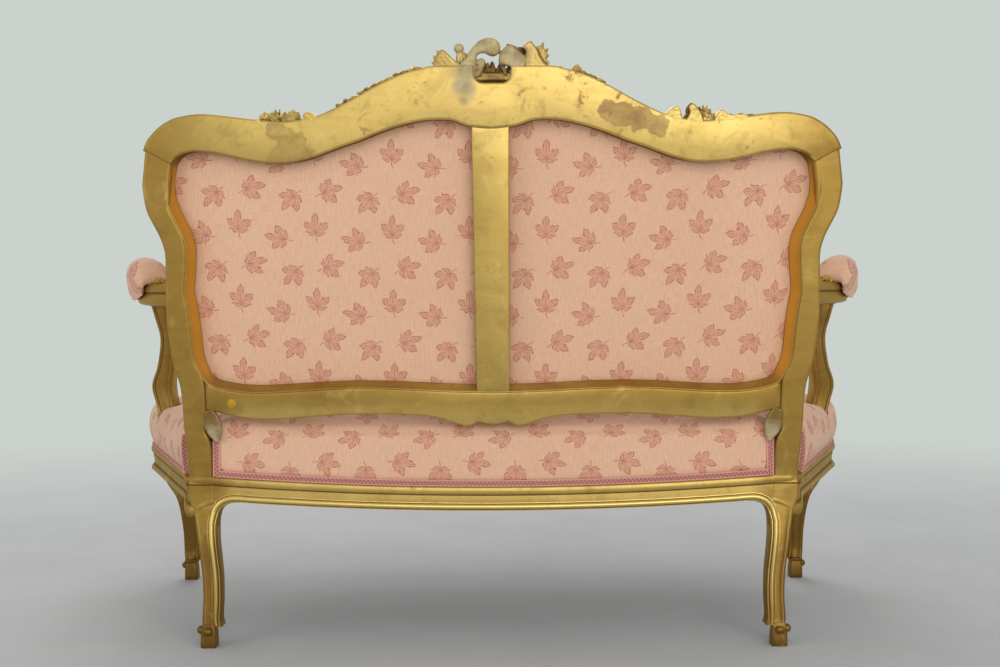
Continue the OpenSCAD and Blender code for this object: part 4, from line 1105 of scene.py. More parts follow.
def leg_corner(z):
    """Place of the left rear leg's inner corner at a height."""
    rows = LEG_ROWS["rear_leg_left"]
    zs = [r[0] for r in rows]
    return [float(np.interp(z, zs, [r[k] for r in rows])) for k in (1, 4)]


# Radius of the bead under the rear rail, how far it runs in from the leg's corner, and its sunk
# lines as (aside, out) in mm and darkening, painted shade with grime
BEAD_R, BEAD_IN = 4.4 * MM, 9.6 * MM
RIBBON_SIDE = [(-7.2, -2.5, 0), (-7.2, 0.4, 0), (-6.1, 0.5, 0.2), (-5.3, -0.2, 1), (-4.7, 0.2, 0.7)]
# Points of the bead's turn from the leg to the rail, as (x, z), and its height under the rail's top
BEAD_TURN = [(0.5062, 0.2385), (0.4985, 0.2505), (0.4870, 0.2580)]
BEAD_LOW, BEAD_SUNK = 36 * MM, 0.2 * MM


def ribbon_profile():
    """A bead between two sunk lines, as (aside, out) and dirt."""
    radius, turns = BEAD_R / MM, [math.radians(a) for a in range(165, 10, -15)]
    arc = [(radius * math.cos(a), 0.5 + radius * math.sin(a), 0) for a in turns]
    full = RIBBON_SIDE + arc + [(-a, b, d) for a, b, d in RIBBON_SIDE[::-1]]
    return [(a * MM, b * MM) for a, b, _ in full], [d for _, _, d in full]


def bead_highlight(path, count):
    """How much painted highlight and burnish the bead has along its path: bright under the rail,
    duller down the legs.
    """
    return np.repeat(np.interp(path[:, 2], (0.06, 0.16, 0.24), (0.2, 0.45, 1)), count)


def bead_path():
    """The bead's line, up the left leg, along under the rail and down the right leg."""
    half = []
    for z in np.arange(40, 224, 8) * MM:
        x, y = leg_corner(z)
        half.append((x + BEAD_IN, y, z))
    for (x, z), share in zip(BEAD_TURN, (0.5, 1, 1)):
        half.append((x, BACK_Y - BEAD_SUNK * share, z))
    for x in np.arange(470, 0, -35) * MM:
        half.append((x, BACK_Y - BEAD_SUNK, RAIL_TOP - BEAD_LOW - drop_at(x)))
    middle = (0, BACK_Y - BEAD_SUNK, RAIL_TOP - BEAD_LOW - DROP)
    return spline(half + [middle] + mirrored(half[::-1]), 6 * MM)


def rear_bead():
    """The bright bead under the rear rail, which turns down both rear legs to the feet."""
    path = bead_path()
    tangent = np.gradient(path, axis=0)
    ups = np.cross(tangent, np.cross((0, 1, 0), tangent))
    profile, tags = ribbon_profile()
    rings = swept(path, ups, profile, [np.interp(p[2], (0.04, 0.07), (0.75, 1)) for p in path])
    obj = ring_object("rear_bead", rings, tags=tags)
    # The bead's raised parts carry a painted highlight with the burnish, brightest under the rail
    high = [1.0 - t for t in tags] * len(path)
    painted(obj, "shine", np.array(high, np.float32) * bead_highlight(path, len(tags)))
    return gilded(obj)


# Outer line of the seat frame's left side in mm, from the rear leg's face round to the front
# leg's, with how far the moulding's lower part falls there
SIDE_LINE = [(506, 235.2, 0), (518, 235.3, 4), (533, 235.3, 14), (548, 233, 24), (560, 226, 24),
             (566.5, 213, 15), (570, 196, 5), (577, 172, 0), (611, 92, 0), (661, -27, 0),
             (711, -146, 0), (738, -212, 1), (748, -238, 3), (752, -258, 5), (752, -276, 6),
             (746, -291, 6), (729, -300, 5), (708, -302, 3), (688, -300, 1), (671, -297.5, 0)]
# The moulding, as distance out of that line, height below the rails' top, both in mm, and
# darkening, painted shade with grime
SIDE_BACK = -12
SIDE_PROFILE = [(SIDE_BACK, 0, 0), (-3.5, 0, 0), (-1, 1, 0), (0, 4, 0), (-0.3, 9, 0),
                (-1.6, 12.4, 0.3), (-3.6, 14, 1), (-4.3, 15.4, 1), (-5, 21, 0), (-6.4, 28, 0),
                (-6.6, 34, 0.3), (-5, 37.5, 1), (-3, 39, 0.5), (-0.5, 42, 0), (0, 45.5, 0),
                (-1.5, 49, 0.3), (-4.5, 50.4, 0.8), (SIDE_BACK, 50.4, 0)]


def side_rail(side, sign):
    """The side rail, whose moulding turns round the legs at both ends."""
    line = spline(SIDE_LINE, 9)
    out = np.stack([-np.gradient(line[:, 1]), np.gradient(line[:, 0])], 1)
    out /= np.linalg.norm(out, axis=1)[:, None]
    rings = []
    for (x, y, fall), (nx, ny) in zip(line, out):
        straight = np.interp(y, (-235, -215, 165, 185), (0, 1, 1, 0))
        proud = 1 - 0.5 * np.interp(x, (516, 545), (1, 0)) * (y > 0)
        ring = []
        for a, h, _ in SIDE_PROFILE:
            low = max(0, (h - 16) / 34) ** 1.5
            deep = a - 24 * straight if a == SIDE_BACK else a * proud
            ring.append((sign * (x + nx * deep) * MM, (y + ny * deep) * MM,
                         RAIL_TOP - (h + fall * low) * MM))
        rings.append(ring)
    tags = [p[2] for p in SIDE_PROFILE]
    return gilded(ring_object(f"side_rail_{side}", rings, tags=tags), f"seat_rail_{side}")


# Half the length of the front rail, its face at the legs, its bow and the depth of its scallops
FRONT_IN, FRONT_Y, BOW, SCALLOP = 671 * MM, -296.6 * MM, 34 * MM, 14 * MM
# The front rail, as distance out, height below its top, share of the scallops, and darkening,
# painted shade with grime
FRONT_PROFILE = ((-34, 0, 0, 0), (1, 0, 0, 0), (3, 1.5, 0, 0), (3.5, 4, 0, 0), (2.5, 7.5, 0, 0),
                 (0.3, 9, 0, 1), (-1.5, 12, 0, 0.3), (-3, 22, 0.3, 0), (-2.5, 34, 0.8, 0),
                 (-1, 41, 1, 0.6), (0.5, 43, 1, 1), (2.5, 44.5, 1, 0), (2.5, 48, 1, 0),
                 (0, 50, 1, 0.5), (-34, 50, 1, 0))
# The seat's left side, on plan, from its rear end to its front end
SIDE_REAR, SIDE_FRONT = Vector((534, 188.36)) * MM, Vector((710, -239.6)) * MM


def bow_at(x):
    """How far the front rail bows forward at a place across."""
    return BOW * (1 + math.cos(math.pi * x / FRONT_IN)) / 2


def scallop_at(x):
    """How far the front rail's foot hangs down at a place across."""
    return SCALLOP * (1 + math.cos(3 * math.pi * x / FRONT_IN)) / 2


def side_x(y):
    """Place across of the seat's left side at a depth."""
    run = SIDE_FRONT.y - SIDE_REAR.y
    return SIDE_REAR.x + (SIDE_FRONT.x - SIDE_REAR.x) * (y - SIDE_REAR.y) / run


def front_rail():
    """The bowed front rail with its scalloped foot."""
    rings = []
    for x in np.linspace(-FRONT_IN, FRONT_IN, 110):
        y, fall = FRONT_Y - bow_at(x), scallop_at(x)
        rings.append([(x, y - a * MM, RAIL_TOP - h * MM - s * fall)
                      for a, h, s, _ in FRONT_PROFILE])
    tags = [p[3] for p in FRONT_PROFILE]
    return gilded(ring_object("front_rail", rings, tags=tags), "seat_rail_front")


def front_leg(side, sign):
    """A front leg, with the block at its top that the rails run into."""
    rows = LEG_ROWS["front_leg_left"]
    rings, tags = [], None
    for z, x0, x1, y0, y1 in spline(rows, 8 * MM):
        ring, tags = section(x1, x0, y1 - y0, 6.5 * MM, (0.4, 0.4, 1, 1), bulge=1.5 * MM)
        rings.append([(sign * x, y1 - w, z) for x, w in ring])
    x0, x1, y0, y1 = rows[-1][1:]
    for z in (RAIL_LOW + 4 * MM, RAIL_LOW + 20 * MM,
              RAIL_TOP - 12 * MM, RAIL_TOP - 2 * MM, RAIL_TOP):
        ring, _ = section(x1, x0, y1 - y0, 5 * MM, (0, 0, 0.5, 0.5))
        rings.append([(sign * x, y1 - w, z) for x, w in ring])
    return gilded(ring_object(f"front_leg_carved_{side}", rings, tags=tags), f"front_leg_{side}")


# Width of a foot, its outline as height in mm and share of that width, and radius of its volutes
FOOT_W = 28 * MM
FOOT_ROWS = ((0, 0.94), (1.5, 1), (10, 1.01), (24, 0.98), (34, 0.9), (42, 0.8))
TOE = 7.4 * MM


def foot(name, node, sign, rearward):
    """Square foot with the two rolled volutes that stand over it."""
    z, x0, x1, y0, y1 = LEG_ROWS[node][0]
    x, y = (x0 + x1) / 2, (y0 + y1) / 2
    bm = bmesh.new()
    rings = []
    for h, share in FOOT_ROWS:
        half = FOOT_W * share / 2
        ring, _ = section(x + half, x - half, 2 * half, 4 * MM)
        rings.append([(sign * a, y + half - b, h * MM) for a, b in ring])
    add_rings(bm, rings)
    reach = FOOT_W / 2 + 1 * MM
    for dx, dy, wide, deep in ((reach, 0, 1, 1.25), (0, reach * rearward, 1.25, 1)):
        for v in bmesh.ops.create_icosphere(bm, subdivisions=3, radius=TOE)["verts"]:
            v.co = (sign * (x + dx + v.co.x * wide), y + dy + v.co.y * deep,
                    z - TOE * 0.8 + v.co.z)
    return gilded(from_bmesh(name, bm))


# Arms


# Start of an arm at the stile, its middle's height, its own height, and how far out and forward
# it runs
ARM_X0, ARM_Z, ARM_H = 558.5 * MM, 607 * MM, 44 * MM
# The arm's line: shares of its way out and forward, and its rise in arm heights
ARM_SHARES = [(0, 0, 0), (0.12, 0.06, 0), (0.42, 0.2, 0.02), (0.7, 0.38, 0.03), (0.88, 0.58, 0.02),
              (0.97, 0.76, 0), (1, 0.9, 0), (0.99, 1, 0)]
ARM_OUT, ARM_REACH = 690 * MM, 330 * MM
ARM_V = (ARM_Z + ARM_H / 2 - RAIL_TOP - BACK_T * SIN) / COS
ARM_Y0 = BACK_Y + ARM_V * SIN - BACK_T * COS
ARM_LINE = [(ARM_X0 + a * (ARM_OUT - ARM_X0), ARM_Y0 - b * ARM_REACH, ARM_Z + ARM_H / 2 + c * ARM_H)
            for a, b, c in ARM_SHARES]


# An arm's section, in its width, and darkening, painted shade with grime: a rounded back with a
# sunk line on each side of its top
ARM_PROFILE = [(-0.5, -0.2, 0), (-0.42, -0.42, 0), (-0.2, -0.5, 0), (0.2, -0.5, 0),
               (0.42, -0.42, 0), (0.5, -0.2, 0), (0.47, 0.02, 0.3), (0.41, 0.08, 1),
               (0.46, 0.14, 0.3), (0.5, 0.24, 0), (0.46, 0.4, 0), (0.32, 0.5, 0), (0, 0.52, 0),
               (-0.32, 0.5, 0), (-0.46, 0.4, 0), (-0.5, 0.24, 0), (-0.46, 0.14, 0.3),
               (-0.41, 0.08, 1), (-0.47, 0.02, 0.3)]
# Width of an arm, its scroll's radius, turns and width, how far its eye lies under the arm's top,
# and the half sizes of its core
ARM_W, SCROLL_R, SCROLL_TURNS, SCROLL_W = 43 * MM, 25.5 * MM, 1.6, 42 * MM
SCROLL_EYE, SCROLL_CORE = 26 * MM, (24 * MM, 13 * MM, 13 * MM)
# Section of a scroll's band: across in its width, and out in its height
BAND = ((-0.5, -0.5), (-0.5, 0.2), (-0.36, 0.5), (-0.3, 0.3), (0.3, 0.3), (0.36, 0.5),
        (0.5, 0.2), (0.5, -0.5))


def spiral(bm, centre):
    """The rolled scroll of an arm: a band that winds in to its eye, upright, front to back."""
    ahead, up = Vector((0, -1, 0)), Vector((0, 0, 1))
    across = ahead.cross(up).normalized()
    steps = int(40 * SCROLL_TURNS)
    rings = []
    for k in range(steps + 1):
        t = k / steps
        far = SCROLL_R * (1 - t) ** 0.8 * 0.86 + SCROLL_R * 0.14
        turn = math.pi / 2 + 2 * math.pi * SCROLL_TURNS * t
        out = ahead * math.cos(turn) + up * math.sin(turn)
        wide, high = SCROLL_W * (1 - 0.1 * t), SCROLL_R * 0.3 * (1 - 0.45 * t)
        rings.append([centre + out * far + across * a * wide + out * (b - 0.5) * high
                      for a, b in BAND])
    add_rings(bm, rings)


def arm(side, sign):
    """An arm that rolls over into a scroll at its front end."""
    path = spline(ARM_LINE, 0.009)
    last = len(path) - 1
    scales = [1 - 0.1 * math.sin(math.pi * k / last) for k in range(last + 1)]
    profile = [(a * ARM_W, b * ARM_W) for a, b, _ in ARM_PROFILE]
    rings = [[(sign * x, y, z) for x, y, z in ring]
             for ring in swept(path, (0, 0, 1), profile, scales)]
    bm = bmesh.new()
    add_rings(bm, rings, tags=[p[2] for p in ARM_PROFILE])
    tip = ARM_LINE[-1]
    centre = Vector((sign * tip[0], tip[1] - 2 * MM, tip[2] + ARM_H / 2 - SCROLL_EYE))
    spiral(bm, centre)
    for v in bmesh.ops.create_uvsphere(bm, u_segments=24, v_segments=12, radius=1)["verts"]:
        v.co = [c + q * r for c, q, r in zip(centre, v.co, SCROLL_CORE)]
    return gilded(from_bmesh(f"arm_carved_{side}", bm), f"arm_{side}")


# An arm's support from the rail up: height, how far out and how far back, width and depth, as
# shares of the measures below
SUPPORT_SHARES = [(0, 0.1, 1, 1.05, 1), (0.14, 0.2, 1.02, 1.02, 1.04),
                  (0.33, 0.72, 1.06, 1.02, 1.2), (0.46, 0.9, 0.98, 1.08, 1.3),
                  (0.6, 0.42, 0.68, 0.9, 0.92),
                  (0.78, 0, 0.3, 0.78, 0.74), (0.92, 0.12, 0.06, 0.88, 0.8), (1, 0.25, 0, 1, 0.86)]
SUPPORT_SWAY, SUPPORT_RAKE, SUPPORT_W, SUPPORT_D = 26 * MM, 78 * MM, 36 * MM, 46 * MM
SUPPORT_Y = SIDE_FRONT.y + 104 * MM


def support_rows(step):
    """Rows of the left support: its middle, width, depth and height over the rail."""
    x, rows = side_x(SUPPORT_Y) - 1.2 * MM, []
    for z, out, back, wide, deep in spline(SUPPORT_SHARES, step):
        rows.append((x + out * SUPPORT_SWAY, SUPPORT_Y + (1 - back) * SUPPORT_RAKE,
                     wide * SUPPORT_W, deep * SUPPORT_D, z * (ARM_Z - RAIL_TOP)))
    return rows


def support(side, sign):
    """The scrolled support that stands on the side rail and carries the arm."""
    rings, tags = [], None
    for cx, cy, w, d, up in support_rows(0.02):
        ring, tags = section(cx + w / 2, cx - w / 2, d, 7 * MM, (1, 0.6, 0.6, 1), bulge=1 * MM)
        rings.append([(sign * a, cy + d / 2 - b, RAIL_TOP + up) for a, b in ring])
    return gilded(ring_object(f"support_carved_{side}", rings, tags=tags), f"arm_support_{side}")


# Carving. Its forms are lumps and leaves in millimetres: across, up the back and forward of its
# rear face. They are melted together, as cut from one block.


def lump(bm, at, size, place=raked):
    """A rounded lump at a place."""
    for v in bmesh.ops.create_icosphere(bm, subdivisions=3, radius=1)["verts"]:
        v.co = place(*((c + q * r) * MM for c, q, r in zip(at, v.co, size)))


def petal(bm, base, tip, width, thick, lift, place=raked):
    """A leaf from base to tip that arches forward and is sunk along its middle."""
    base, tip = Vector(base), Vector(tip)
    along = (tip - base).normalized()
    side = along.cross(Vector((0, 0, 1))).normalized()
    high = side.cross(along)
    rings = []
    for t in np.linspace(0, 1, 10):
        half = width / 2 * math.sin(math.pi * (0.14 + 0.84 * t)) ** 0.7
        middle = base.lerp(tip, t) + high * lift * math.sin(math.pi * t)
        ring = []
        for k in range(14):
            a = 2 * math.pi * k / 14
            sunk = 1 - 0.6 * max(0, 1 - abs(math.cos(a)) * 2.2)
            p = middle + side * half * math.cos(a) + high * thick / 2 * math.sin(a) * sunk
            ring.append(place(*(c * MM for c in p)))
        rings.append(ring)
    add_rings(bm, rings)


def slab(bm, outline, near, far, rounding):
    """A flat form with rounded edges that fills an outline."""
    corners = anticlockwise([(x * MM, v * MM) for x, v in outline])
    loop = smooth_loop(corners, 2.5 * MM, math.radians(75))
    add_plate(bm, loop, near * MM, far * MM, rounding * MM, rounding * MM)


# Darkening, painted shade with grime, for each metre that a point lies under its neighbours
HOLLOW_GAIN = 9000


def hollows(obj):
    """Paints shade with grime into the hollows of a carved piece, as its darkening, and returns its
    points.
    """
    me = obj.data
    co = np.empty(len(me.vertices) * 3)
    me.vertices.foreach_get("co", co)
    co = co.reshape(-1, 3)
    normal = np.array([v.normal for v in me.vertices])
    ends = np.array([e.vertices for e in me.edges])
    count = np.bincount(ends.ravel(), minlength=len(co))[:, None] + 1e-9

    def spread(values):
        total = np.zeros_like(values)
        np.add.at(total, ends[:, 0], values[ends[:, 1]])
        np.add.at(total, ends[:, 1], values[ends[:, 0]])
        return total / count

    sink = ((spread(co) - co) * normal).sum(1)[:, None]
    for _ in range(3):
        sink = (sink + spread(sink)) / 2
    painted(obj, "dirt", np.clip(sink[:, 0] * HOLLOW_GAIN, 0, 1))
    return co


def carved(name, build, node=None, voxel=1.2, tones=(), place=raked):
    """One carved piece. tones are places with a reach, how grey and how dark they are."""
    bm = bmesh.new()
    build(bm)
    obj = from_bmesh(name, bm)
    modified(obj, "REMESH", mode="VOXEL", voxel_size=voxel * MM)
    modified(obj, "SMOOTH", factor=0.5, iterations=2)
    moved = [v.co + v.normal * 0.45 * MM * noise.noise(v.co / (5 * MM)) for v in obj.data.vertices]
    obj.data.vertices.foreach_set("co", np.array(moved).ravel())
    obj.data.shade_smooth()
    co = hollows(obj)
    grey, dark = np.zeros(len(co)), np.zeros(len(co))
    for at, reach, how_grey, how_dark in tones:
        middle = np.array(place(*(c * MM for c in at)))
        far = np.linalg.norm(co - middle, axis=1) / (reach * MM)
        share = np.clip(1.6 - far * 1.1, 0, 1)
        grey, dark = np.maximum(grey, share * how_grey), np.maximum(dark, share * how_dark)
    painted(obj, "grey", grey)
    painted(obj, "dark", dark)
    return finish_piece(obj, "carved_gilding", *([node] if node else []))


# Forms of the open scroll on the crest, seen from behind: (across, up the back)
SCROLL = [(63, 718), (53, 733), (45, 741), (38.6, 752), (31, 761.5), (21.7, 769.5), (14, 773.2),
          (6.3, 774.4), (-3, 773.2), (-10.3, 768.3), (-14, 760), (-13.4, 751.8), (-8.3, 745.7),
          (-0.6, 743.5), (6.3, 745.7), (10.6, 748.3), (15.6, 749.2), (21.7, 748), (26, 744.7),
          (26.5, 740), (25.5, 731), (30, 712), (44, 706)]
HOOK = [(33, 734), (25, 736.5), (21.7, 739.5), (17.1, 740.2), (12.5, 736.5), (11.3, 730),
        (13.3, 724), (16.2, 717), (21, 710), (33, 706)]
SHELL = [(103, 716), (99, 732), (96, 743.5), (91, 752.2), (85.6, 754), (81, 752.2), (75.6, 747.2),
         (69.5, 742), (63.4, 736), (56, 730), (54, 714)]
ROLL = [(-11.6, 728), (-11.4, 736), (-12.8, 746), (-17, 753.3), (-23, 759.3), (-29, 762),
        (-36, 760.6), (-41.4, 756.3), (-49, 750.3), (-55.3, 744.7), (-59, 736), (-60, 716),
        (-33, 714), (-30, 726)]
CLUSTER = [(-49, 714), (-57, 739), (-58, 748), (-57.5, 754), (-52.1, 757), (-53.6, 761.5),
           (-58.2, 765.3), (-62.8, 768), (-69, 765.5), (-74.5, 759.5), (-79, 752), (-83, 742),
           (-92, 730), (-101, 726), (-103, 714)]


# The plate that these forms stand on
SCROLL_BASE = [(106, 702), (-106, 702), (-106, 722), (-36, 722), (-36, 716), (36, 716), (36, 722),
               (106, 722)]
# Tips and widths of the leaves of the shell and of the cluster
SHELL_LEAVES = ((104, 734, 10), (101, 745, 11), (94, 754, 11), (84, 755, 10), (74, 747, 10),
                (66, 739, 9))
CLUSTER_LEAVES = ((-100, 732, 9), (-98, 746, 10), (-97, 757, 10), (-88, 767, 10), (-79, 762, 9),
                  (-66, 770, 9))
# Leaves in the scroll's opening: base, tip and width
INNER_LEAVES = ((8, 706, 7, 734, 9), (0, 702, -3, 733, 9), (-12, 702, -11, 729, 9),
                (-22, 704, -29, 727, 10), (16, 706, 12, 720, 8))
# Middle of the fan on the crest's front
FAN_V = 690


def cartouche_rear(bm):
    """The open scroll as photographed from behind."""
    for outline, near, far, rounding in ((SCROLL, 5, 34, 6), (HOOK, 8, 32, 4), (SHELL, 6, 30, 4),
                                         (ROLL, 1, 26, 7), (CLUSTER, 3, 28, 4.5),
                                         (SCROLL_BASE, 12, 40, 3)):
        slab(bm, outline, near, far, rounding)
    lump(bm, (57, 757, 16), (9, 8.5, 9))
    petal(bm, (54.5, 728, 16), (56.5, 757, 16), 13, 12, 0)
    for x, v, width in SHELL_LEAVES:
        petal(bm, (84, 724, 8), (x, v, 10), width, 9, 3)
    for x, v, width in CLUSTER_LEAVES:
        petal(bm, (-80, 736, 12), (x, v, 13), width, 9, 3)
    petal(bm, (-52, 738, 20), (-25, 764, 22), 20, 6, 2)
    petal(bm, (-60, 736, 22), (-47, 760, 24), 14, 6, 1)
    petal(bm, (-14, 737, 14), (-24, 712, 10), 8.5, 5, 1)
    for x, v, to_x, to_v, width in INNER_LEAVES:
        petal(bm, (x, v, 24), (to_x, to_v, 20), width, 7, 2)


def cartouche_forms(bm):
    """The open scroll, with a fan of leaves on its front."""
    cartouche_rear(bm)
    for degrees in range(-80, 81, 20):
        a, reach = math.radians(degrees), 52 - 8 * abs(degrees) / 80
        tip = (math.sin(a) * reach, FAN_V + math.cos(a) * reach * 0.9, 46)
        petal(bm, (0, FAN_V, 44), tip, 17, 9, 9)
    for sign in (1, -1):
        petal(bm, (sign * 30, 700, 46), (sign * 100, 712, 46), 22, 9, 6)
        petal(bm, (sign * 26, 694, 47), (sign * 84, 684, 47), 18, 8, 6)
        lump(bm, (sign * 52, 742, 34), (11, 11, 9))
    lump(bm, (0, FAN_V, 50), (9, 9, 9))


# Places on it that are grey or dark: place, reach, how grey and how dark
CARTOUCHE_TONES = (((88, 744, 8), 22, 0.1, 0.3), ((20, 760, 6), 34, 1, 0), ((57, 757, 10),
                                                                            13, 0.9, 0),
                   ((40, 726, 5), 24, 0.9, 0), ((-36, 742, 5), 27, 1, 0), ((-34, 762, 20),
                                                                           12, 0.8, 0.7),
                   ((-51, 753, 22), 11, 0.5, 0.95), ((-20, 724, 12), 9, 1, 0.1), ((-3, 714, 20),
                                                                                  26, 0, 0.9),
                   ((-88, 750, 16), 22, 0.1, 0.4), ((-26, 724, 22), 8, 0, 1))


def flower(bm, x, v, w, size, place=raked, petals=5):
    """A flower of a few petals round a bud."""
    for k in range(petals):
        a = 2 * math.pi * (k + 0.25) / petals
        tip = (x + math.cos(a) * size, v + math.sin(a) * size, w + 1)
        petal(bm, (x, v, w), tip, size * 0.95, size * 0.42, size * 0.18, place)
    lump(bm, (x, v, w + 1), [size * 0.3] * 3, place)


# The sprays as seen from behind: flat forms in the crest's own plane, and petals that stand behind
# them, from base to tip with their width and how dark they are
SPRAY_LEFT = ([[(419, 626), (415.5, 633.6), (410, 637), (405, 638.7), (400, 636), (393, 632),
                (386, 626)], [(336, 626), (329, 634), (327.4, 640), (324.6, 647.7), (320, 650),
                              (315, 650.2), (310, 647.6), (303, 641.7), (296.5, 639),
                              (289.5, 641.6), (280, 640), (280, 626)]],
              [(376, 630, 388, 649, 9, 0.35), (376, 630, 381, 652, 8, 0.1),
               (375, 630, 374.5, 655, 8, 0.5), (372, 630, 366.5, 656.5, 4.5, 1),
               (360, 630, 358, 651, 13, 0.45), (352, 630, 350, 652, 8, 0.1),
               (342, 630, 344, 655, 13, 0), (338, 632, 335, 651, 9, 0.2),
               (340, 638, 326, 631, 9, 1), (398, 630, 386, 636, 8, 0.95),
               (430, 630, 416, 637, 6, 0.6), (409, 628, 398, 640, 8, 0.7)])
SPRAY_RIGHT = ([[(-291, 636), (-297, 636), (-301, 646), (-306, 651), (-311, 655.6), (-316.5, 658),
                 (-321.7, 656.4), (-325.3, 649.6), (-326.5, 641), (-331, 633), (-331, 624),
                 (-291, 624)], [(-334, 624), (-334.5, 634), (-339, 642), (-341, 648), (-339, 655),
                                (-342, 660), (-347, 661), (-351.5, 657), (-356, 651), (-360, 646),
                                (-364, 634), (-364, 624)], [(-382, 622), (-382.5, 632.4),
                                                            (-387.4, 642.6), (-390.7, 648.5),
                                                            (-395.8, 651), (-401, 649.3),
                                                            (-404.6, 646), (-410, 643.3),
                                                            (-415, 642.5), (-427, 644),
                                                            (-437, 643.5), (-446, 634),
                                                            (-446, 622)]],
               [(-330, 634, -340, 646, 7, 1), (-339, 640, -335.5, 656, 6, 1),
                (-337, 654, -344, 663.5, 5, 0.85), (-345, 662, -355, 654, 5, 0.6),
                (-360, 636, -358, 658, 6, 1), (-366, 632, -364, 660, 6.5, 0.85),
                (-368, 632, -371, 660, 7, 0.1), (-373, 632, -377, 654, 7, 0.6),
                (-377, 630, -383, 646, 7, 0.25), (-406, 636, -413, 645, 6, 0.9),
                (-420, 638, -432, 646, 6, 0.6)])


# On the front of a spray: the plate behind it, the tips of its leaves and places of its flowers
SPRAY_BASE = ((286, 620), (432, 612), (432, 628), (286, 634))
SPRAY_LEAVES = ((300, 622), (330, 608), (362, 600), (396, 606), (424, 616))
SPRAY_FLOWERS = (322, 348, 374, 398)


def spray(name, forms, node):
    """A spray of buds and leaves on the crest."""
    flats, petals = forms
    sign = 1 if petals[0][0] > 0 else -1

    def build(bm):
        for outline in flats:
            slab(bm, outline, 0.2, 24, 1.6)
        for x, v, to_x, to_v, width, _ in petals:
            petal(bm, (x, v, 12), (to_x, to_v, 9), width, 9, 1)
        slab(bm, [(sign * x, v) for x, v in SPRAY_BASE], 12, 42, 3)
        for x, v in SPRAY_LEAVES:
            petal(bm, (sign * 356, 634, 38), (sign * x, v, 49), 17, 8, 5)
        for x in SPRAY_FLOWERS:
            flower(bm, sign * x, 640, 36, 11)

    tones = []
    for x, v, to_x, to_v, width, dark in petals:
        for share in (0.35, 0.65, 0.95):
            at = (x + (to_x - x) * share, v + (to_v - v) * share, 8)
            tones.append((at, width * 0.62, 0, dark))
    return carved(name, build, node, tones=tones)


# Small carved knobs that stand over the crest's top edge: (across, up, radius)
KNOBS = ((136, 720, 7), (129, 721, 6), (133, 725, 5), (146, 712, 4.5), (154, 708, 4),
         (161, 704, 3.5), (168, 702, 4.5), (178, 697, 3.5), (187, 693, 4.5), (196, 689, 3.5),
         (205, 685, 4), (-143, 722, 6), (-149, 722, 6.5), (-146, 727, 5), (-160, 712, 4.5),
         (-170, 706, 4), (-181, 700, 4.5), (-192, 694, 3.5), (-203, 689, 4), (-214, 683, 3.5),
         (114, 725, 4), (-118, 725, 4))


# Runs of rough places between the carvings: from, to and step
ROUGH_RUNS = ((124, 268, 4.6), (-152, -196, 5.2), (-425, -452, 5))


def rough_places():
    """Small rough places along the crest's top: across, up and radius."""
    loop = smooth_loop(rear_loops("crest_rail")[0], 0.005)
    rough = []
    for start, end, step in ROUGH_RUNS:
        for k, x in enumerate(np.arange(start, end, math.copysign(step, end))):
            top = loop[np.abs(loop[:, 0] - x * MM) < 6 * MM, 1].max() / MM
            rough.append((x, top + 0.6 * math.sin(k * 3.9), 2.5 + 1.1 * math.sin(k * 2.3)))
    return rough


def knobs():
    """Small carved knobs and rough places along the crest's top edge."""
    rough = rough_places()

    def build(bm):
        for x, v, r in rough:
            lump(bm, (x, v, 9), (r * 1.25, r, 7))
        for x, v, r in KNOBS:
            lump(bm, (x, v - r * 0.35, 20), (r, r, 11))
        for sign in (1, -1):
            petal(bm, (sign * 112, 712, 46), (sign * 230, 660, 47), 16, 7, 3)
            petal(bm, (sign * 150, 702, 46), (sign * 196, 664, 48), 14, 7, 3)

    tones = [((x, v, 20), r * 1.4, 0, 0.55) for x, v, r in KNOBS[3:]]
    tones += [((x, v, 6), r * 1.6, 0, 0.45 + 0.4 * math.sin(x)) for x, v, r in rough]
    return carved("crest_knobs", build, tones=tones)


def scoop(side, sign):
    """The hollowed end of the lower rail, where it meets the stile."""
    def build(bm):
        petal(bm, (sign * 512, 124, 2), (sign * 497, 64, 4), 33, 11, 1)

    # Grey where the gilding is chipped low in the scoop, and a painted shade, dark at its top under
    # the lower rail
    tones = [((sign * 500, 78, 0), 24, 0.9, 0), ((sign * 508, 112, 0), 20, 0.1, 0.45)]
    return carved(f"scoop_{side}", build, tones=tones)


def arm_leaf(side, sign):
    """The small leaf carved on the arm behind its pad."""
    at, _ = arm_frame(PAD_MID - PAD_L / 2 - 6 * MM)

    def on_arm(x, z, out):
        return Vector((sign * (at.x + x), at.y + out, at.z + ARM_H / 2 + z))

    def build(bm):
        for a, size in ((20, 15), (60, 13), (95, 13), (130, 13), (165, 15)):
            c, s = math.cos(math.radians(a)), math.sin(math.radians(a))
            petal(bm, (0, -4, -2), (c * size, s * size - 2, 4), 8, 5, 2, on_arm)
        lump(bm, (0, 1, 3), (5, 4, 5), on_arm)

    return carved(f"arm_leaf_{side}", build, voxel=1.0, place=on_arm)


# Face of the front rail that its flower stands on, and the flower's height
FLOWER_Y, FLOWER_Z = -0.3305, 272


def front_flower():
    """The small flower in the middle of the front rail."""
    def on_front(x, z, out):
        return Vector((x, FLOWER_Y - out, z))

    def build(bm):
        flower(bm, 0, FLOWER_Z, 0, 17, on_front, 6)

    return carved("front_flower", build, "front_rail_carving", place=on_front)


def carvings():
    """All the carved pieces."""
    for side, sign in SIDES:
        scoop(side, sign)
        arm_leaf(side, sign)
    carved("crest_scrollwork", cartouche_forms, "crest_cartouche", 1.3, CARTOUCHE_TONES)
    spray("spray_left", SPRAY_LEFT, "crest_spray_left")
    spray("spray_right", SPRAY_RIGHT, "crest_spray_right")
    knobs()
    front_flower()


# Upholstery


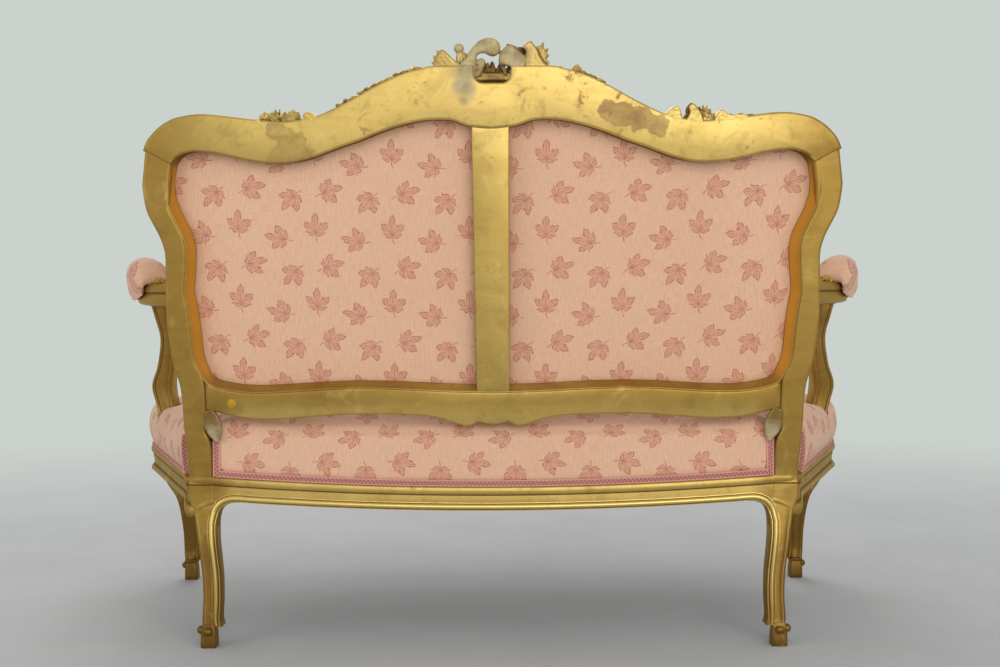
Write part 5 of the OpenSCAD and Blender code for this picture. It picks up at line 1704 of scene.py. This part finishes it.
def inflate(obj, cap, held, slack):
    """Fills a pad with the cloth simulation. No point moves more than cap, and held points stay."""
    count = len(obj.data.vertices) * 3
    start, end = np.empty(count), np.empty(count)
    obj.data.vertices.foreach_get("co", start)
    group = obj.vertex_groups.new(name="held")
    group.add([v.index for v in obj.data.vertices if held(v.co)], 1, "ADD")
    cloth = obj.modifiers.new("cloth", "CLOTH")
    cloth.settings.vertex_group_mass = "held"
    cloth.settings.use_pressure = True
    cloth.settings.uniform_pressure_force = 4
    cloth.settings.shrink_min = -slack
    cloth.settings.effector_weights.gravity = 0
    for frame in range(1, 21):
        bpy.context.scene.frame_set(frame)
    bpy.context.view_layer.update()
    shown = obj.evaluated_get(bpy.context.evaluated_depsgraph_get())
    shown.data.vertices.foreach_get("co", end)
    moves = (end - start).reshape(-1, 3)
    far = np.linalg.norm(moves, axis=1)[:, None]
    moves *= cap * np.tanh(far / cap) / np.maximum(far, 1e-9)
    obj.modifiers.remove(cloth)
    obj.vertex_groups.remove(group)
    obj.data.vertices.foreach_set("co", start + moves.ravel())
    obj.data.update()
    bpy.context.scene.frame_set(1)


def stuffed(obj, voxel, cap, held, slack):
    """Gives a pad an even net, fills it and smooths it."""
    modified(obj, "REMESH", mode="VOXEL", voxel_size=voxel)
    modified(obj, "SMOOTH", factor=0.5, iterations=3)
    inflate(obj, cap, held, slack)
    modified(obj, "SUBSURF", levels=1)
    obj.data.shade_smooth()


# A leaf of the outside back as (across from behind, up the back)
LEAF_ROW = Vector((-0.3127, 0.4435))
# Middle of the opening, as (across, up the back)
OUTLINE_MID = Vector((0, 0.3734))


def shrunk(loop, share):
    """The opening's outline, drawn in towards its middle."""
    return [(x * share, OUTLINE_MID.y + (v - OUTLINE_MID.y) * share) for x, v in loop]


def set_cloth(obj, place):
    """Gives each point its place on the cloth as it was cut."""
    layer = obj.data.attributes.new("cloth", "FLOAT_VECTOR", "POINT")
    values = [(*place(v.co), 0) for v in obj.data.vertices]
    layer.data.foreach_set("vector", np.array(values, np.float32).ravel())


def disc(bm, rings):
    """Rings that end in a point at the middle of the last."""
    rows = add_rings(bm, rings, caps=False)
    last = rows[-1]
    middle = bm.verts.new(sum((v.co for v in last), Vector()) / len(last))
    for a, b in zip(last, last[1:] + last[:1]):
        bm.faces.new((a, b, middle))
    return rows


# How far the outside back sinks, and reach of the painted shade along its edges and beside the bar
BACK_SLACK, SHADE_REACH = 2.5 * MM, 0.02


def shade_edges(obj, loop):
    """Paints shade along the edges of the outside back and beside the centre bar, where the frame
    and the bar shade it.
    """
    tree = kdtree.KDTree(len(loop))
    for i, (x, v) in enumerate(loop):
        tree.insert((x, v, 0), i)
    tree.balance()
    soil = []
    for vert in obj.data.vertices:
        x, v, _ = unraked(vert.co)
        edge = tree.find((x, v, 0))[2]
        beside = abs(x) - BAR_HALF
        soil.append(max(0.5 - edge / SHADE_REACH, 0.6 - beside / SHADE_REACH, 0))
    painted(obj, "soil", soil)


def outside_back():
    """The fabric stretched over the back of the opening, a little slack."""
    loop = opening_outline(0.01)
    slants, normal = opening_slants(loop)
    loop = loop + normal * (slants - 1 * MM)[:, None]
    rings = []
    for k in np.linspace(1, 0.04, 24):
        slack = BACK_SLACK * (1 - k**4)
        rings.append([raked(x, v, PANEL_IN - 1 * MM - slack) for x, v in shrunk(loop, k)])
    bm = bmesh.new()
    disc(bm, rings)
    obj = from_bmesh("outside_back_fabric", bm)

    def place(p):
        x, v, _ = unraked(p)
        return -x - LEAF_ROW.x, v - LEAF_ROW.y - 13 * MM * (x / 0.447) ** 2

    set_cloth(obj, place)
    shade_edges(obj, loop)
    finish_piece(obj, "leaf_fabric", "outside_back_panel")
    xs, vs = loop[:, 0], loop[:, 1]
    area = abs((xs * np.roll(vs, -1) - np.roll(xs, -1) * vs).sum()) / 2
    flat = (xs.max() - xs.min() + 2 * MM, vs.max() - vs.min() + 2 * MM)
    return obj


# The back pad's foot forward of the back's rear face, its straight edge and its crown
PAD_FOOT, PAD_EDGE, PAD_CROWN = 41 * MM, 12 * MM, 32 * MM
# Its wall, as shares of the opening's outline and of that edge
PAD_WALL = ((0.3, 0), (0.7, 0), (0.975, 0), (0.985, 0.3), (0.99, 0.6), (0.985, 0.9))


def back_pad():
    """The crowned pad on the front of the back."""
    loop = opening_outline(0.012)
    levels = [(share, PAD_FOOT + w * PAD_EDGE) for share, w in PAD_WALL]
    levels += [(k, PAD_FOOT + PAD_EDGE + PAD_CROWN * (1 - k**4.5))
               for k in np.linspace(0.96, 0.05, 22)]
    bm = bmesh.new()
    rows = disc(bm, [[raked(x, v, w) for x, v in shrunk(loop, share)] for share, w in levels])
    bm.faces.new(rows[0][::-1])
    obj = from_bmesh("back_cushion", bm, 60)
    stuffed(obj, 8 * MM, 12 * MM, lambda p: unraked(p)[2] < PAD_FOOT + PAD_EDGE * 0.8, 0.02)
    set_cloth(obj, lambda p: (p[0] - 20 * MM, unraked(p)[1] - 0.42))
    finish_piece(obj, "leaf_fabric", "back_pad")
    return obj


# Middle of the seat, its wall's height, its crown, how far it lies in from the frame's faces, and
# how far its wall swells
SEAT_MID_Y = BACK_Y - 0.268
SEAT_SIDE, SEAT_CROWN, SEAT_INSET, SEAT_SWELL = 92 * MM, 44 * MM, 5 * MM, 16 * MM


def seat_outline(by):
    """Outline of the seat, anticlockwise from above, inset from the frame's faces."""
    half = []
    for s in np.linspace(0, 1, 12):
        y = BACK_Y - by - s * (BACK_Y - by - SIDE_FRONT.y)
        half.append((side_x(y) + 34 * MM - by + 2 * MM * math.sin(math.pi * s), y))
    half += [(0.749 - by, -0.2606), (0.747 - by, -0.28), (0.733 - by, FRONT_Y + by + 2 * MM)]
    front = []
    for x in np.linspace(-0.705, 0.705, 60):
        bow = bow_at(x) if abs(x) < FRONT_IN else 0
        front.append((x, FRONT_Y + by - bow))
    rear = [(x, BACK_Y - by) for x in np.linspace(0.52, -0.52, 30)]
    return rear + mirrored(half) + front + half[::-1]


# The seat's wall, as shares of its outline and its height, from the foot up, the last share of
# the outline, and half the width over which the rear wall hangs down
EDGE_SHARE, FLAP_HALF = 0.94, 0.498
SEAT_RINGS = [(0.3, 0), (0.7, 0), (1, 0), (1, 0.14), (1, 0.3), (1, 0.45), (1, 0.6), (1, 0.75),
              (0.998, 0.9), (0.99, 1), (0.97, 1.055), (EDGE_SHARE, 1.08)]


def seat_swell(y, aside, up):
    """How far out the seat's wall swells: most at the sides, less at the front corners."""
    share = 0.06 + 0.94 * abs(aside) ** 1.5
    front = np.interp(y, (-0.3, -0.16), (0.6, 1))
    return SEAT_SWELL * share * front * math.sin(math.pi * min(1, up * 0.85) ** 0.8)


def flap_at(x, y):
    """How far the seat's rear wall hangs down, to the curved bead of the rear rail."""
    return drop_at(x) if y > BACK_Y - 2 * SEAT_INSET and abs(x) < FLAP_HALF else 0


def seat_solid():
    """The seat with its crown and rounded edge, before the stiles and supports are cut out."""
    loop = seat_outline(SEAT_INSET)
    _, normal = wall_map(loop)
    rings = []
    for share, up in SEAT_RINGS:
        ring = []
        for (x, y), (nx, ny) in zip(loop, normal):
            swell = seat_swell(y, nx, up) if share > 0.9 else 0
            flap = flap_at(x, y) if share == 1 and up == 0 else 0
            ring.append((x * share + nx * swell,
                         SEAT_MID_Y + (y - SEAT_MID_Y) * share + ny * swell,
                         RAIL_TOP + 0.3 * MM + up * SEAT_SIDE - flap))
        rings.append(ring)
    for k in np.linspace(0.9, 0.06, 16):
        z = RAIL_TOP + 1.08 * SEAT_SIDE + (SEAT_CROWN - 8 * MM) * (1 - (k / EDGE_SHARE) ** 2)
        rings.append([(x * k, SEAT_MID_Y + (y - SEAT_MID_Y) * k, z) for x, y in loop])
    bm = bmesh.new()
    rows = disc(bm, rings)
    bm.faces.new(rows[0][::-1])
    return from_bmesh("seat_cushion", bm, 60)


def cut(obj, rings):
    """Cuts the solid between rings out of an object."""
    bm = bmesh.new()
    add_rings(bm, rings)
    tool = from_bmesh("cutter", bm, 0)
    modified(obj, "BOOLEAN", operation="DIFFERENCE", object=tool, solver="EXACT")
    bpy.data.objects.remove(tool)


# Room that is cut from the seat for a stile: across, in depth and in height
STILE_ROOM = ((0.5065, 0.63), (BACK_Y - BACK_T - 0.8 * MM, BACK_Y + 0.02), (0.28, 0.6))


def seat_cut(obj):
    """Cuts the room for the stiles and the supports out of the seat."""
    (x0, x1), (y0, y1), heights = STILE_ROOM
    for sign in (1, -1):
        cut(obj, [[(sign * x, y, z) for x, y in ((x0, y0), (x1, y0), (x1, y1), (x0, y1))]
                  for z in heights])
        cut(obj, support_rings(sign, 1 * MM))


def support_rings(sign, room):
    """Square rings round a support, with room on each side."""
    rings = []
    for cx, cy, w, d, up in support_rows(0.05):
        w, d = w + 2 * room, d + 2 * room
        rings.append([(sign * (cx + a * w / 2), cy + b * d / 2, RAIL_TOP - 2 * MM + up)
                      for a, b in ((-1, -1), (1, -1), (1, 1), (-1, 1))])
    return rings


def wall_map(loop):
    """Nearest point of the seat's outline and its outward direction there, smoothed."""
    pts = np.array(loop)
    edge = np.roll(pts, -1, 0) - np.roll(pts, 1, 0)
    normal = np.stack([edge[:, 1], -edge[:, 0]], 1)
    normal /= np.linalg.norm(normal, axis=1)[:, None]
    for _ in range(3):
        normal = (np.roll(normal, 1, 0) + 2 * normal + np.roll(normal, -1, 0)) / 4
    tree = kdtree.KDTree(len(pts))
    for i, p in enumerate(pts):
        tree.insert((*p, 0), i)
    tree.balance()
    return tree, normal


def seat_held(p):
    """The seat is nailed along the rails, flat against the back, and tight round the supports."""
    if p.z < RAIL_TOP + 14 * MM or p.y > BACK_Y - 60 * MM and p.z < RAIL_TOP + 78 * MM:
        return True
    return abs(abs(p.x) - side_x(SUPPORT_Y)) < 34 * MM and abs(p.y - SUPPORT_Y) < 50 * MM


def seat_cushion():
    """The sprung seat under its cover, whose pattern runs on over the top and down the wall."""
    obj = seat_solid()
    seat_cut(obj)
    stuffed(obj, 8 * MM, 9 * MM, seat_held, 0.02)
    tree, normal = wall_map(seat_outline(SEAT_INSET))

    def place(p):
        drop = max(0, RAIL_TOP + SEAT_SIDE - p.z)
        _, i, _ = tree.find((p.x, p.y, 0))
        return p.x + drop * normal[i][0] - 0.097, p.y + drop * normal[i][1] - 0.321

    set_cloth(obj, place)
    finish_piece(obj, "leaf_fabric", "seat_cover", "seat_stuffing")
    return obj


def arm_frame(f):
    """Place on the arm's line at a reach forward of the back, and the way outwards."""
    ys = [ARM_Y0 - p[1] for p in ARM_LINE]
    x, z = (float(np.interp(f, ys, [p[k] for p in ARM_LINE])) for k in (0, 2))
    x0, x1 = (float(np.interp(f + d, ys, [p[0] for p in ARM_LINE])) for d in (-26 * MM, 26 * MM))
    side = Vector((52 * MM, x1 - x0, 0)).normalized()
    return Vector((x, ARM_Y0 - f, z)), side


# Section of an arm pad: across in arm widths, up in pad heights or down in skirt lengths
PAD_SECTION = [(-0.6, 0), (0.56, 0), (0.565, -0.5), (0.58, -0.98), (0.66, -0.97), (0.74, -0.6),
               (0.82, -0.2), (0.87, 0.2), (0.82, 0.5), (0.68, 0.78), (0.4, 0.94), (0.1, 1),
               (-0.2, 0.96), (-0.46, 0.82), (-0.64, 0.55), (-0.7, 0.25), (-0.68, 0.06)]
# An arm pad's length, height, skirt and width, and the reach of its middle
PAD_L, PAD_H, PAD_SKIRT, PAD_W = 210 * MM, 48 * MM, 36 * MM, 44 * MM
PAD_MID = 0.57 * ARM_REACH


def arm_pad(side, sign):
    """The pad on an arm, with the skirt that is nailed to the arm's outer side."""
    rings = []
    for s in np.linspace(0.005, 0.995, 26):
        full = math.sqrt(max(0.03, 1 - abs(2 * s - 1) ** 5))
        at, out = arm_frame(PAD_MID + (s - 0.5) * PAD_L)
        ring = []
        for a, b in PAD_SECTION:
            k = 1 if b == 0 or a < 0.57 and b < 0 else 0.75 + 0.25 * full
            up = b * (PAD_H if b > 0 else PAD_SKIRT) * full
            p = at + out * (a * PAD_W * k) + Vector((0, 0, ARM_H / 2 + 0.4 * MM + up))
            ring.append((sign * p.x, p.y, p.z))
        rings.append(ring)
    obj = ring_object(f"arm_cushion_{side}", rings)
    stuffed(obj, 4 * MM, 5 * MM, lambda p: p.z < ARM_Z + ARM_H / 2, 0.05)
    top = ARM_Z + ARM_H + 20 * MM
    set_cloth(obj, lambda p: (p.y + 0.02, abs(p.x) + max(0, top - p.z) - 0.62))
    finish_piece(obj, "leaf_fabric", f"arm_pad_{side}")
    return obj


# Braid: its edge cords' place in widths and radius, the radius and the length of its loops
CORD_AT, CORD_R, THREAD_R, LOOP_L = 0.42, 1.3 * MM, 1.2 * MM, 7.4 * MM
GIMP_STEP = 2 * MM


def gimp(name, path, out, width, *replaces):
    """Braid along a path: two edge cords and a row of small loops between them."""
    pts = spline(path, GIMP_STEP)
    bm = bmesh.new()
    half = width / 2
    _, side, high = frames_along(pts, out)
    frames = list(zip(pts, side, high))
    ground = ((-half, 0), (-half, 1 * MM), (half, 1 * MM), (half, 0))
    add_rings(bm, [[p + s * a + h * b for a, b in ground] for p, s, h in frames])
    for across in (-CORD_AT, CORD_AT):
        rings = []
        for p, s, h in frames:
            centre = p + s * (across * width) + h * CORD_R
            rings.append([centre + s * a + h * b for a, b in circle_profile(CORD_R, 6)])
        add_rings(bm, rings)
    layer = bm.verts.layers.float["dirt"]
    for phase, dirt in ((0, 0.0), (math.pi, 0.8)):
        rings = []
        for k, (p, s, h) in enumerate(frames):
            t = k * GIMP_STEP / LOOP_L * 2 * math.pi + phase
            centre = p + s * (math.sin(t) * width * 0.27) + h * (1.6 * MM + 0.7 * MM * math.cos(t))
            rings.append([centre + s * a + h * b for a, b in circle_profile(THREAD_R, 6)])
        for row in add_rings(bm, rings):
            for vert in row:
                vert[layer] = dirt
    return finish_piece(from_bmesh(name, bm), "braid", *replaces)


# Width of the braid
GIMP_W = 11 * MM


def side_gimp(side, sign):
    """Braid along the side of the seat."""
    wall = SIDE_FRONT - SIDE_REAR
    out = Vector((-wall.y, wall.x)).normalized()
    line = []
    for t in np.linspace(0.02, 0.98, 12):
        p = SIDE_REAR.lerp(SIDE_FRONT, t)
        line.append((sign * (p.x + 34.5 * MM), p.y, RAIL_TOP + 5.5 * MM))
    gimp(f"gimp_{side}_braid", line, (sign * out.x, out.y, 0), GIMP_W, f"gimp_{side}")


def gimps():
    """Braid along the four sides of the seat, and up both sides of the stiles."""
    rear = [(x, BACK_Y - 0.8 * MM, RAIL_TOP - drop_at(x) + 6.5 * MM)
            for x in np.linspace(-0.497, 0.497, 40)]
    gimp("gimp_rear_braid", rear, (0, 1, 0), GIMP_W, "gimp_rear")
    for side, sign in SIDES:
        upright = [(sign * 0.502, BACK_Y - 3.5 * MM, z) for z in np.linspace(0.299, 0.366, 8)]
        gimp(f"gimp_upright_{side}", upright, (0, 1, 0), 13 * MM)
        outer = [(sign * (0.5655 + 5 * MM * math.sin(math.pi * (z - 0.3) / 0.09)), 0.1885, z)
                 for z in np.linspace(0.292, 0.372, 9)]
        gimp(f"gimp_outer_{side}", outer, (0, 1, 0), GIMP_W)
        side_gimp(side, sign)
    front = [(x, FRONT_Y - bow_at(x) + 1.2 * MM, RAIL_TOP + 6 * MM)
             for x in np.linspace(-0.667, 0.667, 60)]
    gimp("gimp_front_braid", front, (0, -1, 0), GIMP_W, "gimp_front")


# The scene


# Finishes of the CAD nodes that show as they are, or hide inside the upholstery
PLAIN_NODES = (
    (JUTE, ("back_webbing", "seat_webbing", "spring_hessian")),
    (STEEL, ("seat_springs", "corner_block_screws")),
    (BEECH, ("corner_blocks", "shoulder_dowels", "side_rail_dowels", "front_rail_dowels",
             "arm_dowels", "support_dowels")),
    (BLACK_CLOTH, ("dust_cover",)),
)


def dress_nodes():
    """Gives those nodes their finishes."""
    for material, names in PLAIN_NODES:
        for name in names:
            NODES[name].data.materials.clear()
            NODES[name].data.materials.append(material)


# Colours of the floor and of the backdrop, and the distances over which one fades into the other
FLOOR, WALL, FLOOR_FADE = (188, 187, 185), (203, 209, 205), (0.9, 3.6)


def floor_finish():
    """A matt pale floor that fades with distance from the sofa into the backdrop."""
    look = Look("floor")
    mottle = look.noise(3, 6, 0.6)
    speck = look.noise(120, 2, 0.5)
    x, y, _ = look.split(look.place())
    far = (x * x + y * y).op("SQRT").ramp(*FLOOR_FADE)
    light = [c + 7 for c in FLOOR]
    cloud = (mottle * 0.7 + speck * 0.3).ramp(0.35, 0.65)
    look.set(Base_Color=look.mix(cloud, FLOOR, light), Roughness=0.85)
    glow = look.node("ShaderNodeEmission")
    glow.inputs["Color"].default_value = (*linear(WALL), 1)
    mix = look.node("ShaderNodeMixShader")
    look.tree.links.new(far.socket, mix.inputs[0])
    look.tree.links.new(look.shader.outputs[0], mix.inputs[1])
    look.tree.links.new(glow.outputs[0], mix.inputs[2])
    look.tree.links.new(mix.outputs[0], look.tree.nodes["Material Output"].inputs["Surface"])
    return look.material


def floor():
    """The floor, a square of 16 m."""
    bm = bmesh.new()
    for x, y in ((-8, -8), (8, -8), (8, 8), (-8, 8)):
        bm.verts.new((x, y, 0))
    bm.faces.new(bm.verts)
    obj = from_bmesh("floor", bm, 0)
    obj.data.materials.append(floor_finish())


def world():
    """Daylight all round, and the plain backdrop that the camera sees."""
    made = bpy.data.worlds.new("studio")
    bpy.context.scene.world = made
    made.use_nodes = True
    tree = made.node_tree
    back = tree.nodes["Background"]
    seen = tree.nodes.new("ShaderNodeBackground")
    mix = tree.nodes.new("ShaderNodeMixShader")
    rays = tree.nodes.new("ShaderNodeLightPath")
    out = tree.nodes["World Output"]
    back.inputs["Color"].default_value = (*linear((232, 236, 240)), 1)
    back.inputs["Strength"].default_value = 0.7
    seen.inputs["Color"].default_value = (*linear(WALL), 1)
    seen.inputs["Strength"].default_value = 1
    first, share = (tree.nodes.new("ShaderNodeMath") for _ in range(2))
    first.operation = share.operation = "MAXIMUM"
    for node, slot, source in ((first, 0, rays.outputs["Is Camera Ray"]),
                               (first, 1, rays.outputs["Is Glossy Ray"]),
                               (share, 0, first.outputs[0]),
                               (share, 1, rays.outputs["Is Transmission Ray"])):
        tree.links.new(source, node.inputs[slot])
    tree.links.new(share.outputs[0], mix.inputs[0])
    tree.links.new(back.outputs[0], mix.inputs[1])
    tree.links.new(seen.outputs[0], mix.inputs[2])
    tree.links.new(mix.outputs[0], out.inputs["Surface"])


# Lights: name, place, the point it faces, size and power
LIGHTS = (("key", (-0.9, 3.9, 1.5), (0, 0.1, 0.6), 3.2, 74),
          ("fill", (2.8, 2.4, 1.2), (0, 0.1, 0.5), 2.0, 18),
          ("front", (0.5, -3.0, 2.6), (0, 0, 0.5), 2.5, 40))


def area_light(name, at, target, size, power):
    """A square light that faces a point."""
    data = bpy.data.lights.new(name, "AREA")
    data.energy = power
    data.size = size
    obj = bpy.data.objects.new(name, data)
    bpy.context.scene.collection.objects.link(obj)
    obj.location = at
    obj.rotation_euler = (Vector(target) - Vector(at)).to_track_quat("-Z", "Y").to_euler()


# The camera's place, how far it looks down and rolls in degrees, its lens, and the sideways shift
# of the picture, in its widths
CAMERA_AT = (0.002, 2.488, 0.633)
LOOK_DOWN, ROLL_BY, LENS, SHIFT = 1.9, 0.21, 45.0, (500 - 491.7) / 1000


def camera():
    """The camera that took the photograph, behind the sofa."""
    data = bpy.data.cameras.new("camera")
    data.lens = LENS
    data.sensor_width = 36
    data.shift_x = SHIFT
    obj = bpy.data.objects.new("camera", data)
    bpy.context.scene.collection.objects.link(obj)
    obj.location = CAMERA_AT
    obj.rotation_euler = (math.radians(90 - LOOK_DOWN), math.radians(ROLL_BY), math.pi)
    bpy.context.scene.camera = obj


# Place across of the joints of the lower rail
RAIL_JOINT = 0.8455 * HALF_W


def build():
    """Builds every piece."""
    for side, sign in SIDES:
        rear_post(side, sign)
        side_rail(side, sign)
        bracket(side, sign)
        front_leg(side, sign)
        foot(f"rear_foot_{side}", "rear_leg_left", sign, 1)
        foot(f"front_foot_{side}", "front_leg_left", sign, -1)
        arm(side, sign)
        support(side, sign)
        arm_pad(side, sign)
    shoulder = (SHOULDER_IN, SHOULDER_OUT)
    shoulders = [shoulder, mirrored(shoulder)[::-1]]
    board("crest", "crest_rail", BACK_T, BOARD_EDGE, BOARD_EDGE, shoulders)
    ends = [((x, 0.1), (x, 0.2)) for x in (RAIL_JOINT, -RAIL_JOINT)]
    board("lower_rail", "lower_back_rail", BACK_T, BOARD_EDGE, 6 * MM, ends)
    centre_bar()
    opening_moulding()
    opening_bead()
    rear_rail()
    rear_bead()
    front_rail()
    outside_back()
    back_pad()
    seat_cushion()
    gimps()
    carvings()
    dress_nodes()


build()
floor()
world()
for light in LIGHTS:
    area_light(*light)
camera()
view = bpy.context.scene.view_settings
view.view_transform = "Standard"
